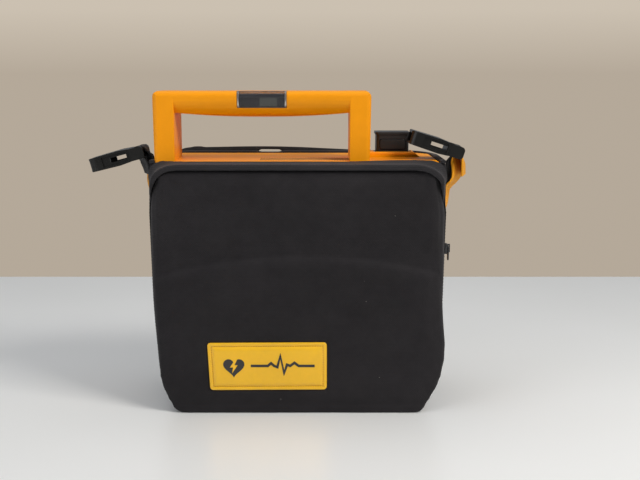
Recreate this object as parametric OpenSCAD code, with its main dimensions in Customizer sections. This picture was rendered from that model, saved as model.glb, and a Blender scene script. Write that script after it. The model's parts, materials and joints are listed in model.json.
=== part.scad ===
// Portable defibrillator standing upright in its soft carry case, with the moulded handle on top.
// Millimetres, +Z up, -Y is the front. The origin is the middle of the soft case's base.

/* [Defibrillator case] */
// Width of the moulded case across its top
unit_w = 267; // [250:1:269]
// Height of the moulded case without its handle
unit_h = 230.5; // [226:0.5:232]
// Depth of the moulded case, front to back
unit_d = 102; // [96:1:102]
// Wall thickness of the moulded case
wall = 3.2; // [2.4:0.1:3.6]

/* [Handle] */
// Height of the handle above the moulded case
handle_rise = 64.5; // [60:0.5:70]
// Width of each handle leg
leg_w = 19; // [16:0.5:22]
// Depth of the grip, front to back
grip_d = 44; // [38:1:46]
// Height of the grip at its ends
grip_end_h = 18.5; // [16:0.5:21]
// How far the underside of the grip swells downwards at its middle
belly = 5.7; // [0:0.1:7]

/* [Soft case] */
// Outer width of the soft case at its top
bag_w = 278; // [278:1:284]
// Thickness of the padded fabric
bag_wall = 5; // [4:0.5:5]
// Depth of the zipped front cover, front to back
cover_d = 19.6; // [18:0.1:21]
// Height of the label on the front cover
badge_h = 46; // [36:1:52]
// Width of the webbing
webbing_w = 25; // [20:1:27]

/* [Battery] */
// Length of the battery pack below its cap
battery_h = 113; // [90:1:140]
// Width of the battery pack
battery_w = 36; // [30:1:36]

/* [Hidden] */

$fn = 48;
big = 400;               // longer than any part of the object

// Levels and planes of the moulded case
floor_z = 5.5;           // top of the soft case's floor
unit_z = 7;              // underside of the moulded case
top_z = unit_z + unit_h;
handle_z = top_z + handle_rise;
front_y = -43;
rear_y = front_y + unit_d;
split_y = -4;            // the two case halves meet here
half_w = unit_w / 2;

// Outline of the moulded case seen from the front: upright sides, cut-away lower corners
chamfer_z = 48;
unit_pts = [
    [-half_w, top_z], [-half_w + 4, chamfer_z], [-half_w + 29.5, unit_z],
    [half_w - 29.5, unit_z], [half_w - 4, chamfer_z], [half_w, top_z]
];
unit_radii = [3, 20, 10, 10, 20, 4];

// Handle, seen from the front
leg_left_x = -half_w;
leg_right_x = 67.6;
grip_mid_x = (leg_left_x + leg_right_x) / 2;
grip_rear_y = front_y + grip_d;
grip_low_z = handle_z - grip_end_h - belly;
leg_rear_base_y = 16;
leg_rear_top_y = 6;

// Readiness display window in the handle
ready_w = 46;
ready_h = 15.4;
ready_d = 14;

// Raised rim around the battery well, behind the split
rim_left_x = 67;
rim_right_x = 112.5;
rim_h = 4.9;
rim_y = 2;
rim_z = top_z + rim_h;

// Battery pack in its well
battery_x = 92.5;
battery_y = 27.5;
battery_d = 38;
well_clear = 0.5;
battery_top = rim_z - 2.2;
battery_low = battery_top - battery_h;
cap_w = 32;
cap_d = 27.5;
cap_y = 26.2;
cap_h = 18.6;
cap_flange = 2.4;
latch_w = 25;
latch_h = 9.6;

// Control panel and what it holds, as [x, z]
panel_inset = 12;
recess_d = 2.5;
display_at = [-11, 191];
display_size = [90, 30];
speaker_at = [-90, 190];
speaker_r = 20;
socket_at = [84, 188];
socket_size = [40, 30];
key_at = [[-72, 118], [0, 118], [72, 118]];
key_r = 19;
small_key_at = [[47, 199], [47, 183]];
small_key_size = [13, 9];
key_gap = 0.5;
key_proud = 1.6;

// Circuit boards
ui_y = -31.5;
main_y = 0;
hv_y = 48;
board_t = 1.6;
board_x = [-90, 58];
board_z = [30, 214];
spacer_at = [[-84, 208], [52, 208], [-84, 36], [52, 36]];
screw_at = [[-98, 220], [30, 222], [-98, 150], [98, 108], [-98, 36], [98, 36]];

// Soft case
bag_half = bag_w / 2;
bag_top = 237.8;
bag_front = -65;
bag_rear = 65;
seam_y = bag_front + cover_d + 0.8; // the body of the soft case starts behind the zip here
band_top = 236.2;
cover_top = 232;
cover_low = 0.6;
bag_taper = 4.4;         // each side leans in by this much from the top down to the knee
bag_knee = 32;           // the lower corners are cut away below this height
bag_foot = 113;
bag_pts = [
    [-bag_half, bag_top], [-bag_half + bag_taper, bag_knee], [-bag_foot, 0],
    [bag_foot, 0], [bag_half - bag_taper, bag_knee], [bag_half, bag_top]
];
bag_radii = [4, 40, 22, 22, 40, 4];
side_slope = bag_taper / (bag_top - bag_knee);

// Straps and buckles
strap_y = -16;
strap_t = 1.6;
bar_r = 2;
loop_r = 3.2;
bar_right = [152.6, 244.2];
bar_left = [-149.3, 244.3];
buckle_right_tilt = 18;
buckle_left_tilt = -15;
strap_low_z = 60;
strap_leave_z = 195;

// ---------------------------------------------------------------- outlines

function unit2(v) = v / norm(v);

// Points of an arc that rounds corner b between a and c
function corner_arc(a, b, c, r, n) = r <= 0 ? [b] :
    let (u = unit2(a - b), v = unit2(c - b), half = acos(u * v) / 2,
         centre = b + unit2(u + v) * r / sin(half),
         first = b + u * r / tan(half) - centre,
         last = b + v * r / tan(half) - centre,
         start = atan2(first.y, first.x),
         turn = (atan2(last.y, last.x) - start + 540) % 360 - 180)
    [for (i = [0 : n]) centre + r * [cos(start + turn * i / n), sin(start + turn * i / n)]];

// A closed outline with each corner rounded by its own radius
function rounded(pts, radii, n = 6) =
    let (m = len(pts))
    [for (i = [0 : m - 1])
        each corner_arc(pts[(i + m - 1) % m], pts[i], pts[(i + 1) % m], radii[i], n)];

// A convex outline moved inwards by t
function inset(pts, t) =
    let (m = len(pts))
    [for (i = [0 : m - 1])
        let (u = unit2(pts[(i + m - 1) % m] - pts[i]), v = unit2(pts[(i + 1) % m] - pts[i]))
        pts[i] + unit2(u + v) * t / sin(acos(u * v) / 2)];

// Corner points of a rectangle, and one radius for each of its four corners
function rect(x0, x1, y0, y1) = [[x0, y0], [x1, y0], [x1, y1], [x0, y1]];
function less(radii, t) = [for (r = radii) max(0, r - t)];

// A path of points thickened to a band of thickness t
function band(path, t) =
    let (m = len(path),
         side = [for (i = [0 : m - 1])
             let (d = unit2(path[min(i + 1, m - 1)] - path[max(i - 1, 0)])) [-d.y, d.x] * t / 2])
    concat([for (i = [0 : m - 1]) path[i] + side[i]],
           [for (i = [m - 1 : -1 : 0]) path[i] - side[i]]);

// Outline of a circle's part, as points
function arc_points(centre, r, a0, a1, n) =
    [for (i = [0 : n]) centre + r * [cos(a0 + (a1 - a0) * i / n), sin(a0 + (a1 - a0) * i / n)]];

// ---------------------------------------------------------------- solids from outlines

// An outline drawn in X and Z, extruded from y0 to y1
module along_y(y0, y1) {
    translate([0, y1, 0]) rotate([90, 0, 0]) linear_extrude(y1 - y0) children();
}

// An outline drawn in Y and Z, extruded from x0 to x1
module along_x(x0, x1) {
    translate([x0, 0, 0]) rotate([90, 0, 90]) linear_extrude(x1 - x0) children();
}

module along_z(z0, z1) {
    translate([0, 0, z0]) linear_extrude(z1 - z0) children();
}

module rod_y(x, z, r, y0, y1) {
    translate([x, y1, z]) rotate([90, 0, 0]) cylinder(r = r, h = y1 - y0);
}

module rod_x(y, z, r, x0, x1) {
    translate([x0, y, z]) rotate([0, 90, 0]) cylinder(r = r, h = x1 - x0);
}

module block(x0, x1, y0, y1, z0, z1) {
    translate([x0, y0, z0]) cube([x1 - x0, y1 - y0, z1 - z0]);
}

// A flat plate with rounded corners that faces the front, centred on at = [x, z]
module plate(at, size, r, y0, y1) {
    along_y(y0, y1)
        polygon(rounded(rect(at.x - size.x / 2, at.x + size.x / 2,
                             at.y - size.y / 2, at.y + size.y / 2), [r, r, r, r]));
}

// ---------------------------------------------------------------- moulded case

// The moulded case's envelope without its handle, less a skin of thickness t
module case_envelope(t = 0) {
    intersection() {
        along_y(front_y + t, rear_y - t) polygon(rounded(inset(unit_pts, t), less(unit_radii, t)));
        along_z(0, big)
            polygon(rounded(rect(-half_w + t, half_w - t, front_y + t, rear_y - t),
                            less([7, 7, 32, 32], t), 8));
        along_x(-big, big)
            polygon(rounded(rect(front_y + t, rear_y - t, unit_z + t, top_z - t),
                            less([6, 12, 5, 2.5], t)));
    }
}

// The grip's envelope, less a skin of thickness t
module grip_envelope(t = 0) {
    steps = 16;
    under = [for (i = [0 : steps])
        let (s = i / steps * 2 - 1)
        [leg_left_x + 3 + (leg_right_x - leg_left_x - 6) * i / steps,
         handle_z - grip_end_h - belly * (1 - s * s) + t]];
    intersection() {
        along_y(front_y, grip_rear_y)
            polygon(concat([[leg_left_x + 3, handle_z - t]], under, [[leg_right_x - 3, handle_z - t]]));
        along_x(-big, big)
            polygon(rounded(rect(front_y + t, grip_rear_y - t, grip_low_z + t, handle_z - t),
                            less([19, 11, 8, 5], t), 8));
    }
}

// One handle leg. side is -1 for the left one and 1 for the right one
module leg(x, side) {
    lean = 1.2;
    outer = x + side * lean;
    inner = x - side * leg_w;
    intersection() {
        along_y(front_y, rear_y)
            polygon(rounded([[x, top_z - wall], [outer, handle_z], [inner, handle_z], [inner, top_z - wall]],
                            [0, 6, 0, 0]));
        along_x(-big, big)
            polygon(rounded([[front_y, 0], [leg_rear_base_y + 20, 0], [leg_rear_base_y, top_z],
                             [leg_rear_top_y, handle_z], [front_y, handle_z]],
                            [0, 0, 6, 8, 5]));
        along_z(0, big)
            polygon(rounded([[outer, front_y], [outer, leg_rear_base_y + 0.5],
                             [inner, leg_rear_base_y + 0.5], [inner, front_y]],
                            [5, 8, 8, 1.2]));
    }
}

module handle_envelope() {
    grip_envelope();
    leg(leg_left_x, -1);
    leg(leg_right_x, 1);
}

module front_half() {
    block(-big, big, front_y - 1, split_y, -1, big);
}

module rear_half() {
    block(-big, big, split_y, rear_y + 1, -1, big);
}

// Cut-outs that go through the panel and the case wall behind it
module panel_openings(y0, y1, ledge = 0) {
    plate(display_at, display_size - [ledge, ledge], 3, y0, y1);
    plate(socket_at, socket_size - [ledge, ledge], 4, y0, y1);
    for (at = key_at) rod_y(at.x, at.y, key_r + key_gap, y0, y1);
    for (at = small_key_at) plate(at, small_key_size + [2 * key_gap, 2 * key_gap], 2, y0, y1);
}

// Sound slots over the loudspeaker, each as long as the circle allows
module speaker_slots(y0, y1) {
    for (i = [-3 : 3]) {
        length = 2 * sqrt(pow(speaker_r - 3, 2) - pow(i * 4.8, 2));
        plate([speaker_at.x, speaker_at.y + i * 4.8], [length, 2.2], 1, y0, y1);
    }
}

module panel_outline(t = 0) {
    polygon(rounded(inset(unit_pts, panel_inset + t), [8, 14, 8, 8, 14, 8]));
}

// The duct that takes the readiness display's flat cable down the right leg
module flex_duct() {
    block(grip_mid_x, leg_right_x - 7, -36, -29, grip_low_z + 8, grip_low_z + 15);
    block(leg_right_x - 14, leg_right_x - 7, -36, -29, top_z - 10, grip_low_z + 15);
}

module readiness_notch(t = 0) {
    block(grip_mid_x - ready_w / 2 - t, grip_mid_x + ready_w / 2 + t, front_y - 1,
          front_y + ready_d + t, handle_z - ready_h - t, handle_z + 1);
}

// Round posts, or holes, on the axes of the case screws
module case_bosses(y0, y1, r) {
    for (at = screw_at) rod_y(at.x, at.y, r, y0, y1);
}

module front_case() {
    wall_y = front_y + recess_d;
    color("orange") difference() {
        union() {
            difference() {
                case_envelope();
                intersection() {
                    case_envelope(wall);
                    block(-big, big, wall_y + wall, big, 0, big);
                }
            }
            handle_envelope();
            intersection() {
                case_envelope(wall / 2);
                case_bosses(wall_y + 1, split_y, 4.5);
            }
        }
        rear_half();
        along_y(front_y - 1, wall_y) panel_outline();
        panel_openings(front_y, wall_y + wall + 1, 1);
        speaker_slots(front_y, wall_y + wall + 1);
        case_bosses(wall_y + wall + 1, split_y + 1, 2.05);
        readiness_notch(0.15);
        intersection() {
            grip_envelope(2.6);
            block(grip_mid_x - ready_w / 2 - 2, grip_mid_x + ready_w / 2 + 2, front_y,
                  split_y + 1, 0, big);
        }
        flex_duct();
    }
}

// The well that holds the battery pack, outside and inside
module battery_well(t, z0, z1) {
    block(battery_x - battery_w / 2 - well_clear - t, battery_x + battery_w / 2 + well_clear + t,
          battery_y - battery_d / 2 - well_clear - t, battery_y + battery_d / 2 + well_clear + t,
          z0, z1);
}

module rear_case() {
    well_floor = battery_low - 4;
    color("orange") difference() {
        union() {
            difference() {
                case_envelope();
                difference() {
                    case_envelope(wall);
                    case_bosses(split_y - 1, rear_y, 5.6);
                    battery_well(2.2, well_floor - 2.2, top_z);
                    for (at = spacer_at) rod_y(at.x, at.y, 4, hv_y + board_t, rear_y);
                }
            }
            handle_envelope();
            intersection() {
                along_y(rim_y, rear_y)
                    polygon([[rim_left_x, top_z - 2], [rim_left_x, rim_z], [rim_right_x, rim_z],
                             [rim_right_x + 6, top_z], [rim_right_x + 6, top_z - 2]]);
                along_z(0, big)
                    polygon(rounded(rect(-half_w, half_w, front_y, rear_y), [7, 7, 32, 32], 8));
                along_x(-big, big)
                    polygon(rounded([[rim_y, top_z - 2], [rear_y, top_z - 2], [rear_y - 4, top_z - 0.1],
                                     [rear_y - 9, rim_z - 2.6], [28, rim_z], [rim_y, rim_z]],
                                    [0, 0, 2, 2, 20, 2]));
            }
        }
        front_half();
        battery_well(0, well_floor, big);
        case_bosses(split_y - 1, rear_y - 4, 2.2);
        case_bosses(rear_y - 6.5, rear_y + 1, 4.2);
        gasket_ring();
        for (at = spacer_at) rod_y(at.x, at.y, 1.3, hv_y, rear_y - 3);
    }
}

module gasket_ring() {
    difference() {
        intersection() {
            case_envelope(0.95);
            block(-big, big, split_y, split_y + 1.3, -1, big);
        }
        intersection() {
            case_envelope(2.25);
            block(-big, big, split_y - 1, split_y + 2, -1, big);
        }
    }
}

module case_gasket() {
    color("dimgray") gasket_ring();
}

// Pan-head screws from the back, in counterbores
module case_screws() {
    color("silver") for (at = screw_at) {
        difference() {
            union() {
                rod_y(at.x, at.y, 3.9, rear_y - 6.4, rear_y - 3.6);
                rod_y(at.x, at.y, 2, split_y - 18, rear_y - 6);
            }
            rod_y(at.x, at.y, 1.2, rear_y - 5, rear_y);
        }
    }
}

module rubber_feet() {
    color("dimgray") for (x = [-80, 80], y = [-28, 40]) {
        translate([x, y, floor_z]) cylinder(r = 8, h = unit_z - floor_z);
    }
}

// ---------------------------------------------------------------- control panel

module control_panel() {
    y0 = front_y + 0.2;
    y1 = front_y + recess_d;
    color("dimgray") difference() {
        along_y(y0, y1) panel_outline(0.3);
        panel_openings(y0 - 1, y1 + 1);
        speaker_slots(y0 - 1, y1 + 1);
    }
}

module display_window() {
    color("lightcyan", 0.4) {
        plate(display_at, display_size - [0.4, 0.4], 3, front_y + 0.5, front_y + recess_d);
    }
}

module display_module() {
    color("olivedrab") union() {
        plate(display_at, display_size - [2, 2], 3, front_y + recess_d + 0.2, -37.6);
        plate(display_at, display_size + [4, 4], 1, -37.2, ui_y);
        plate(display_at, display_size - [8, 8], 1, -37.7, -37.1);
    }
}

// Silicone sheet with one dome behind each key
module keypad_membrane() {
    color("gray") union() {
        plate([0, 118], [184, 44], 4, ui_y - 1.2, ui_y);
        plate([47, 191], [16, 28], 2, ui_y - 1.2, ui_y);
        for (at = key_at) rod_y(at.x, at.y, 8, ui_y - 2.8, ui_y - 1);
        for (at = small_key_at) rod_y(at.x, at.y, 3, ui_y - 2.8, ui_y - 1);
    }
}

// The back of the keys' retaining rims, just behind the wall of the case
key_back = front_y + recess_d + wall + 1.1;

// A round key: dished cap, retaining rim behind the case wall and a short stem
module round_key(at, tint) {
    face = front_y - key_proud;
    color(tint) difference() {
        union() {
            rod_y(at.x, at.y, key_r, face + 1, key_back);
            rod_y(at.x, at.y, key_r + 1.4, key_back - 1, key_back);
            rod_y(at.x, at.y, 6, key_back - 0.5, key_back + 0.3);
            translate([at.x, face + 1, at.y]) rotate([90, 0, 0]) cylinder(r1 = key_r, r2 = key_r - 1, h = 1);
        }
        translate([at.x, face - 108.6, at.y]) sphere(r = 110, $fn = 96);
    }
}

module small_key(at) {
    color("silver") union() {
        plate(at, small_key_size, 2, front_y - 0.8, key_back);
        plate(at, small_key_size + [2.4, 2.4], 2, key_back - 1, key_back);
        rod_y(at.x, at.y, 2.5, key_back - 0.5, key_back + 0.3);
    }
}

module speaker() {
    back = front_y + recess_d + wall;
    color("dimgray") {
        difference() {
            rod_y(speaker_at.x, speaker_at.y, speaker_r + 1, back, back + 3);
            rod_y(speaker_at.x, speaker_at.y, speaker_r - 3, back - 1, back + 1.5);
        }
        translate([speaker_at.x, back + 3, speaker_at.y]) rotate([-90, 0, 0])
            cylinder(r1 = speaker_r - 1, r2 = 12, h = 9);
        rod_y(speaker_at.x, speaker_at.y, 12, back + 12, back + 20);
    }
}

socket_rear = -17;
module electrode_socket() {
    color("dimgray") difference() {
        union() {
            plate(socket_at, socket_size - [0.6, 0.6], 4, front_y - 0.6, front_y + recess_d);
            plate(socket_at, socket_size - [2, 2], 3, front_y + recess_d - 0.1, socket_rear);
        }
        plate(socket_at, [28, 16], 3, front_y - 2, socket_rear - 4);
        plate([socket_at.x, socket_at.y + 9.5], [8, 5], 0.5, front_y - 2, front_y + 12);
    }
}

module socket_contacts() {
    color("gold") for (dx = [-7, 7]) {
        rod_y(socket_at.x + dx, socket_at.y, 1.6, socket_rear - 18, socket_rear - 4);
    }
}

// ---------------------------------------------------------------- electronics

module ui_board() {
    color("green") difference() {
        union() {
            block(-92, 92, ui_y, ui_y + board_t, 92, 162);
            block(-62, 58, ui_y, ui_y + board_t, 161, 214);
        }
        rod_y(0, 150, 1.6, ui_y - 1, ui_y + 3);
    }
}

module ribbon_cable() {
    path = [[ui_y + board_t, 100], [-24, 100], [-19, 97], [-14, 86], [-9, 80], [main_y - 0.1, 79]];
    color("lightgray") along_x(-30, 10) polygon(band(path, 0.7));
}

module drilled_board(y) {
    difference() {
        block(board_x[0], board_x[1], y, y + board_t, board_z[0], board_z[1]);
        for (at = spacer_at) rod_y(at.x, at.y, 1.6, y - 1, y + board_t + 1);
    }
}

module main_board() {
    color("green") drilled_board(main_y);
}

// Chips, sockets and a shielded module on the front of the main board, as [x, z, width, height, depth]
module board_components() {
    parts = [
        [-60, 180, 28, 28, 2.4], [-20, 185, 20, 14, 1.8], [20, 176, 34, 22, 6],
        [-64, 140, 16, 10, 1.6], [-36, 144, 12, 22, 1.6], [0, 140, 24, 24, 2.6],
        [34, 138, 14, 30, 9], [-62, 104, 30, 12, 8], [-10, 110, 44, 8, 5],
        [36, 98, 22, 16, 12], [-56, 60, 26, 18, 4], [30, 62, 30, 10, 7]
    ];
    color("dimgray") for (p = parts) {
        block(p[0] - p[2] / 2, p[0] + p[2] / 2, main_y - p[4], main_y, p[1] - p[3] / 2, p[1] + p[3] / 2);
    }
}

module high_voltage_board() {
    color("green") drilled_board(hv_y);
}

module board_spacers() {
    color("gold") for (at = spacer_at) difference() {
        rod_y(at.x, at.y, 3, main_y + board_t, hv_y);
        rod_y(at.x, at.y, 1.3, main_y, hv_y + 1);
    }
}

module board_screws() {
    color("silver") for (at = spacer_at) {
        union() {
            rod_y(at.x, at.y, 2.8, main_y - 2, main_y);
            rod_y(at.x, at.y, 1.25, main_y - 1, main_y + 9);
        }
        rod_y(at.x, at.y, 1.25, hv_y - 9, hv_y + board_t + 4);
    }
}

capacitor_r = 20.5;
capacitor_y = 26;
capacitor_z = 60;
capacitor_x = [-78, 12];
module energy_capacitor() {
    color("steelblue") union() {
        rod_x(capacitor_y, capacitor_z, capacitor_r, capacitor_x[0], capacitor_x[1]);
        for (dy = [-8, 8]) {
            rod_x(capacitor_y + dy, capacitor_z, 2.5, capacitor_x[0] - 5, capacitor_x[0] + 1);
        }
    }
}

module capacitor_bracket() {
    color("white") difference() {
        block(-62, -2, 34, hv_y, capacitor_z - 25, capacitor_z + 25);
        rod_x(capacitor_y, capacitor_z, capacitor_r + 0.1, -big, big);
        block(-50, -14, 30, hv_y + 1, capacitor_z - 26, capacitor_z + 26);
    }
}

module waveform_inductor() {
    color("peru") translate([34, 38, 66]) rotate([90, 0, 0]) rotate_extrude()
        polygon(rounded(rect(9, 20, -10, 10), [4, 4, 4, 4]));
}

module charging_transformer() {
    color("khaki") union() {
        block(-80, -40, 14, hv_y, 96, 100);
        block(-80, -40, 14, hv_y, 126, 130);
        block(-76, -44, 18, hv_y, 99, 127);
        block(-80, -76.1, 14, hv_y, 99, 127);
        block(-43.9, -40, 14, hv_y, 99, 127);
    }
}

module transfer_relay() {
    color("gainsboro") block(-24, 8, 22, hv_y, 96, 124);
}

// Finned heat sink with the switching transistors on its lower face
module power_heatsink() {
    color("silver") union() {
        block(20, 56, 40, hv_y, 100, 160);
        for (i = [0 : 6]) block(20 + i * 5.5, 23 + i * 5.5, 20, 41, 100, 160);
    }
}

// ---------------------------------------------------------------- battery

module battery_contacts() {
    z0 = battery_low - 4;
    color("gold") {
        block(battery_x - 13, battery_x + 13, battery_y - 8, battery_y + 8, z0, z0 + 2);
        for (dx = [-9, -3, 3, 9]) {
            block(battery_x + dx - 1.2, battery_x + dx + 1.2, battery_y - 4, battery_y + 4, z0 + 2, z0 + 3.8);
        }
    }
}

module battery_footprint(t) {
    polygon(rounded(rect(battery_x - battery_w / 2 + t, battery_x + battery_w / 2 - t,
                         battery_y - battery_d / 2 + t, battery_y + battery_d / 2 - t),
                    less([3, 3, 3, 3], t)));
}

module battery_housing() {
    color("goldenrod") difference() {
        along_z(battery_low, battery_top) battery_footprint(0);
        along_z(battery_low + 1.4, battery_top - 1.4) battery_footprint(1.4);
    }
}

// Twelve lithium cells, four to a layer
module battery_cells() {
    r = 8.1;
    h = 34.5;
    color("steelblue") for (i = [-1, 1], j = [-1, 1], k = [0 : 2]) {
        translate([battery_x + i * 8.2, battery_y + j * 8.8, battery_low + 2 + k * (h + 0.6)])
            cylinder(r = r, h = h);
    }
}

module cap_box(grow, z0, z1) {
    along_z(z0, z1)
        polygon(rounded(rect(battery_x - cap_w / 2 - grow, battery_x + cap_w / 2 + grow,
                             cap_y - cap_d / 2 - grow, cap_y + cap_d / 2 + grow), [3, 3, 4, 4]));
}

latch_at = [battery_x, battery_top + 9];
latch_travel = 2.5;
module battery_cap() {
    front = cap_y - cap_d / 2;
    color("dimgray") difference() {
        union() {
            cap_box(0, battery_top, battery_top + cap_h + 0.1);
            cap_box(1, battery_top + cap_h, battery_top + cap_h + cap_flange);
        }
        plate(latch_at, [latch_w + 1, latch_h + 1], 2.5, front - 1, front + 3.4 + latch_travel);
    }
}

module battery_latch() {
    front = cap_y - cap_d / 2;
    color("gray") plate(latch_at, [latch_w, latch_h], 2.2, front - 0.9, front + 3);
}

// ---------------------------------------------------------------- readiness display

module readiness_window() {
    x0 = grip_mid_x - ready_w / 2;
    color("lightcyan", 0.4) difference() {
        intersection() {
            grip_envelope();
            readiness_notch();
        }
        block(x0 + 1.6, x0 + ready_w - 1.6, front_y + 3.5, front_y + ready_d + 1,
              handle_z - ready_h - 1, handle_z - 3);
        block(x0 + ready_w - 3, x0 + ready_w + 1, -33.5, -30.5, 0, grip_low_z + 13);
    }
}

module readiness_display() {
    color("darkslategray") translate([grip_mid_x, front_y + 9.5, handle_z - 9.6]) rotate([-22, 0, 0]) {
        translate([-19, -1, -5.5]) cube([38, 2.4, 11]);
        translate([-20.5, 1.4, -6.5]) cube([41, 1.2, 12.5]);
    }
}

module readiness_flex() {
    z1 = grip_low_z + 12;
    x1 = leg_right_x - 8.5;
    color("peru") union() {
        block(grip_mid_x + 20.7, x1, -32.4, -31.8, z1 - 3, z1);
        block(x1 - 4, x1, -32.4, -31.8, 215, z1);
    }
}

// ---------------------------------------------------------------- soft case

module soft_case_body() {
    color([0.14, 0.14, 0.15]) difference() {
        intersection() {
            along_y(seam_y, bag_rear) polygon(rounded(bag_pts, bag_radii));
            along_z(-1, big)
                polygon(rounded(rect(-bag_half, bag_half, seam_y, bag_rear), [0, 0, 36, 36], 8));
            along_x(-big, big)
                polygon(rounded(rect(seam_y, bag_rear, 0, bag_top), [0, 12, 2, 0]));
        }
        intersection() {
            along_y(seam_y - 1, bag_rear - bag_wall)
                polygon(rounded(inset([for (p = bag_pts) p.y > 200
                                       ? [p.x + sign(p.x) * side_slope * 30, p.y + 30] : p], bag_wall),
                                less(bag_radii, bag_wall)));
            along_z(floor_z, big)
                polygon(rounded(rect(-bag_half, bag_half, seam_y - 5, bag_rear - bag_wall),
                                [0, 0, 36, 36], 8));
        }
    }
}

// The bound upper edge of the soft case, across the front above the cover
module front_top_band() {
    low = cover_top + 1.4;
    color([0.18, 0.18, 0.2]) difference() {
        intersection() {
            along_y(bag_front, seam_y)
                polygon(rounded(rect(-bag_half + 0.2, bag_half - 0.2, low, band_top), [0, 0, 2, 2]));
            along_z(0, big)
                polygon(rounded(rect(-bag_half, bag_half, bag_front, seam_y), [14, 14, 0, 0]));
            along_x(-big, big)
                polygon(rounded(rect(bag_front, seam_y, low, band_top), [0, 0, 0, 1.8]));
        }
    }
}

// The fabric floor in front of the zip. The cover's bottom edge folds away from it
module cover_hinge_strip() {
    color([0.14, 0.14, 0.15]) block(-104, 104, bag_front + 7.5, seam_y, 0.2, 1.6);
}

module cover_outline(t) {
    knee_x = bag_half - bag_taper;
    polygon(rounded(inset([[-bag_half + 0.4, cover_top], [-knee_x, bag_knee], [-bag_foot, cover_low],
                           [bag_foot, cover_low], [knee_x, bag_knee], [bag_half - 0.4, cover_top]], t),
                    less([18, 40, 22, 22, 40, 18], t)));
}

module front_cover() {
    face = bag_front;
    rear = bag_front + cover_d;
    color([0.14, 0.14, 0.15]) difference() {
        intersection() {
            along_y(face, rear) cover_outline(0);
            along_z(0, big)
                polygon(rounded(rect(-bag_half, bag_half, face, rear + 20), [14, 14, 0, 0]));
            along_x(-big, big)
                polygon(rounded([[face, cover_low], [rear, cover_low], [rear, cover_top],
                                 [face + 1.8, cover_top], [face + 1.8, 152], [face, 136]],
                                [4, 0, 0, 6, 0, 0]));
        }
        block(-106, 106, face + bag_wall - 0.2, rear + 1, -1, 2);
        intersection() {
            along_y(face + bag_wall, rear + 1) cover_outline(bag_wall);
            along_z(0, big)
                polygon(rounded(rect(-bag_half + bag_wall, bag_half - bag_wall, face + bag_wall, rear + 20),
                                [9, 9, 0, 0]));
        }
    }
}

badge_at = [-28.8, 46];
module cover_badge() {
    size = [112.5, badge_h];
    color("gold") union() {
        plate(badge_at, size, 3, bag_front - 1, bag_front);
        difference() {
            plate(badge_at, size, 3, bag_front - 1.6, bag_front);
            plate(badge_at, size - [7, 7], 2, bag_front - 3, bag_front + 1);
        }
        plate(badge_at, size - [11, 11], 3, bag_front - 1.8, bag_front);
    }
}

// Net pocket inside the cover, open at its top
pocket_x = 106;
pocket_z = [26, 150];
pocket_mid = (pocket_z[0] + pocket_z[1]) / 2;
pocket_rise = pocket_z[1] - pocket_z[0];
pocket_y = bag_front + bag_wall + 8.8;
module cover_pocket() {
    y0 = bag_front + bag_wall;
    color("dimgray") difference() {
        plate([0, pocket_mid], [2 * pocket_x, pocket_rise], 10, y0, pocket_y);
        plate([0, pocket_mid + 6],
              [2 * pocket_x - 2.4, pocket_rise + 9.6], 9, y0 - 1, pocket_y - 1);
    }
}

module electrode_pouch() {
    y0 = bag_front + bag_wall + 0.3;
    color("gainsboro") union() {
        plate([0, 100], [190, 140], 5, y0 + 2, y0 + 3.2);
        plate([0, 100], [172, 122], 8, y0, y0 + 6.8);
    }
}

// Zip tape along both upright sides, standing 1 mm proud of the fabric, from y0 to y1
module side_tapes(y0, y1) {
    intersection() {
        difference() {
            along_y(y0, y1) polygon(inset(bag_pts, -1));
            along_y(y0 - 1, y1 + 1) polygon(inset(bag_pts, -0.05));
        }
        block(-big, big, y0, y1, 50, 212);
    }
}

module zipper_tape_case() {
    color([0.1, 0.1, 0.1]) side_tapes(seam_y + 0.1, seam_y + 7);
}

module zipper_tape_cover() {
    color([0.1, 0.1, 0.1]) side_tapes(bag_front + cover_d - 6, bag_front + cover_d);
}

slider_z = 155;
slider_x = bag_half - side_slope * (bag_top - slider_z) + 1.35;
slider_y = seam_y - 0.4;
module zipper_slider() {
    color("dimgray") difference() {
        union() {
            along_x(slider_x, slider_x + 2.2)
                polygon(rounded([[slider_y - 3, slider_z - 5], [slider_y + 3, slider_z - 5],
                                 [slider_y + 4.5, slider_z + 5], [slider_y - 4.5, slider_z + 5]],
                                [1.5, 1.5, 2, 2]));
            block(slider_x + 2, slider_x + 5, slider_y - 1, slider_y + 1, slider_z - 3.5, slider_z + 4.5);
        }
        block(slider_x + 2.2, slider_x + 4.3, slider_y - 2, slider_y + 2, slider_z - 2, slider_z + 3);
    }
}

pull_x = slider_x + 3.3;
pull_z = slider_z + 1.9;
module zipper_pull() {
    color("dimgray") difference() {
        along_x(pull_x - 0.6, pull_x + 0.6)
            polygon(rounded([[slider_y - 2.6, pull_z - 13], [slider_y + 2.6, pull_z - 13],
                             [slider_y + 3.4, pull_z + 0.7], [slider_y - 3.4, pull_z + 0.7]],
                            [2, 2, 1, 1]));
        block(pull_x - 1, pull_x + 1, slider_y - 1.7, slider_y + 1.7, pull_z - 6.6, pull_z - 0.7);
    }
}

// ---------------------------------------------------------------- straps and buckles

// X of the soft case's upright side at height z
function side_x(z) = bag_half - side_slope * (bag_top - z);

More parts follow.
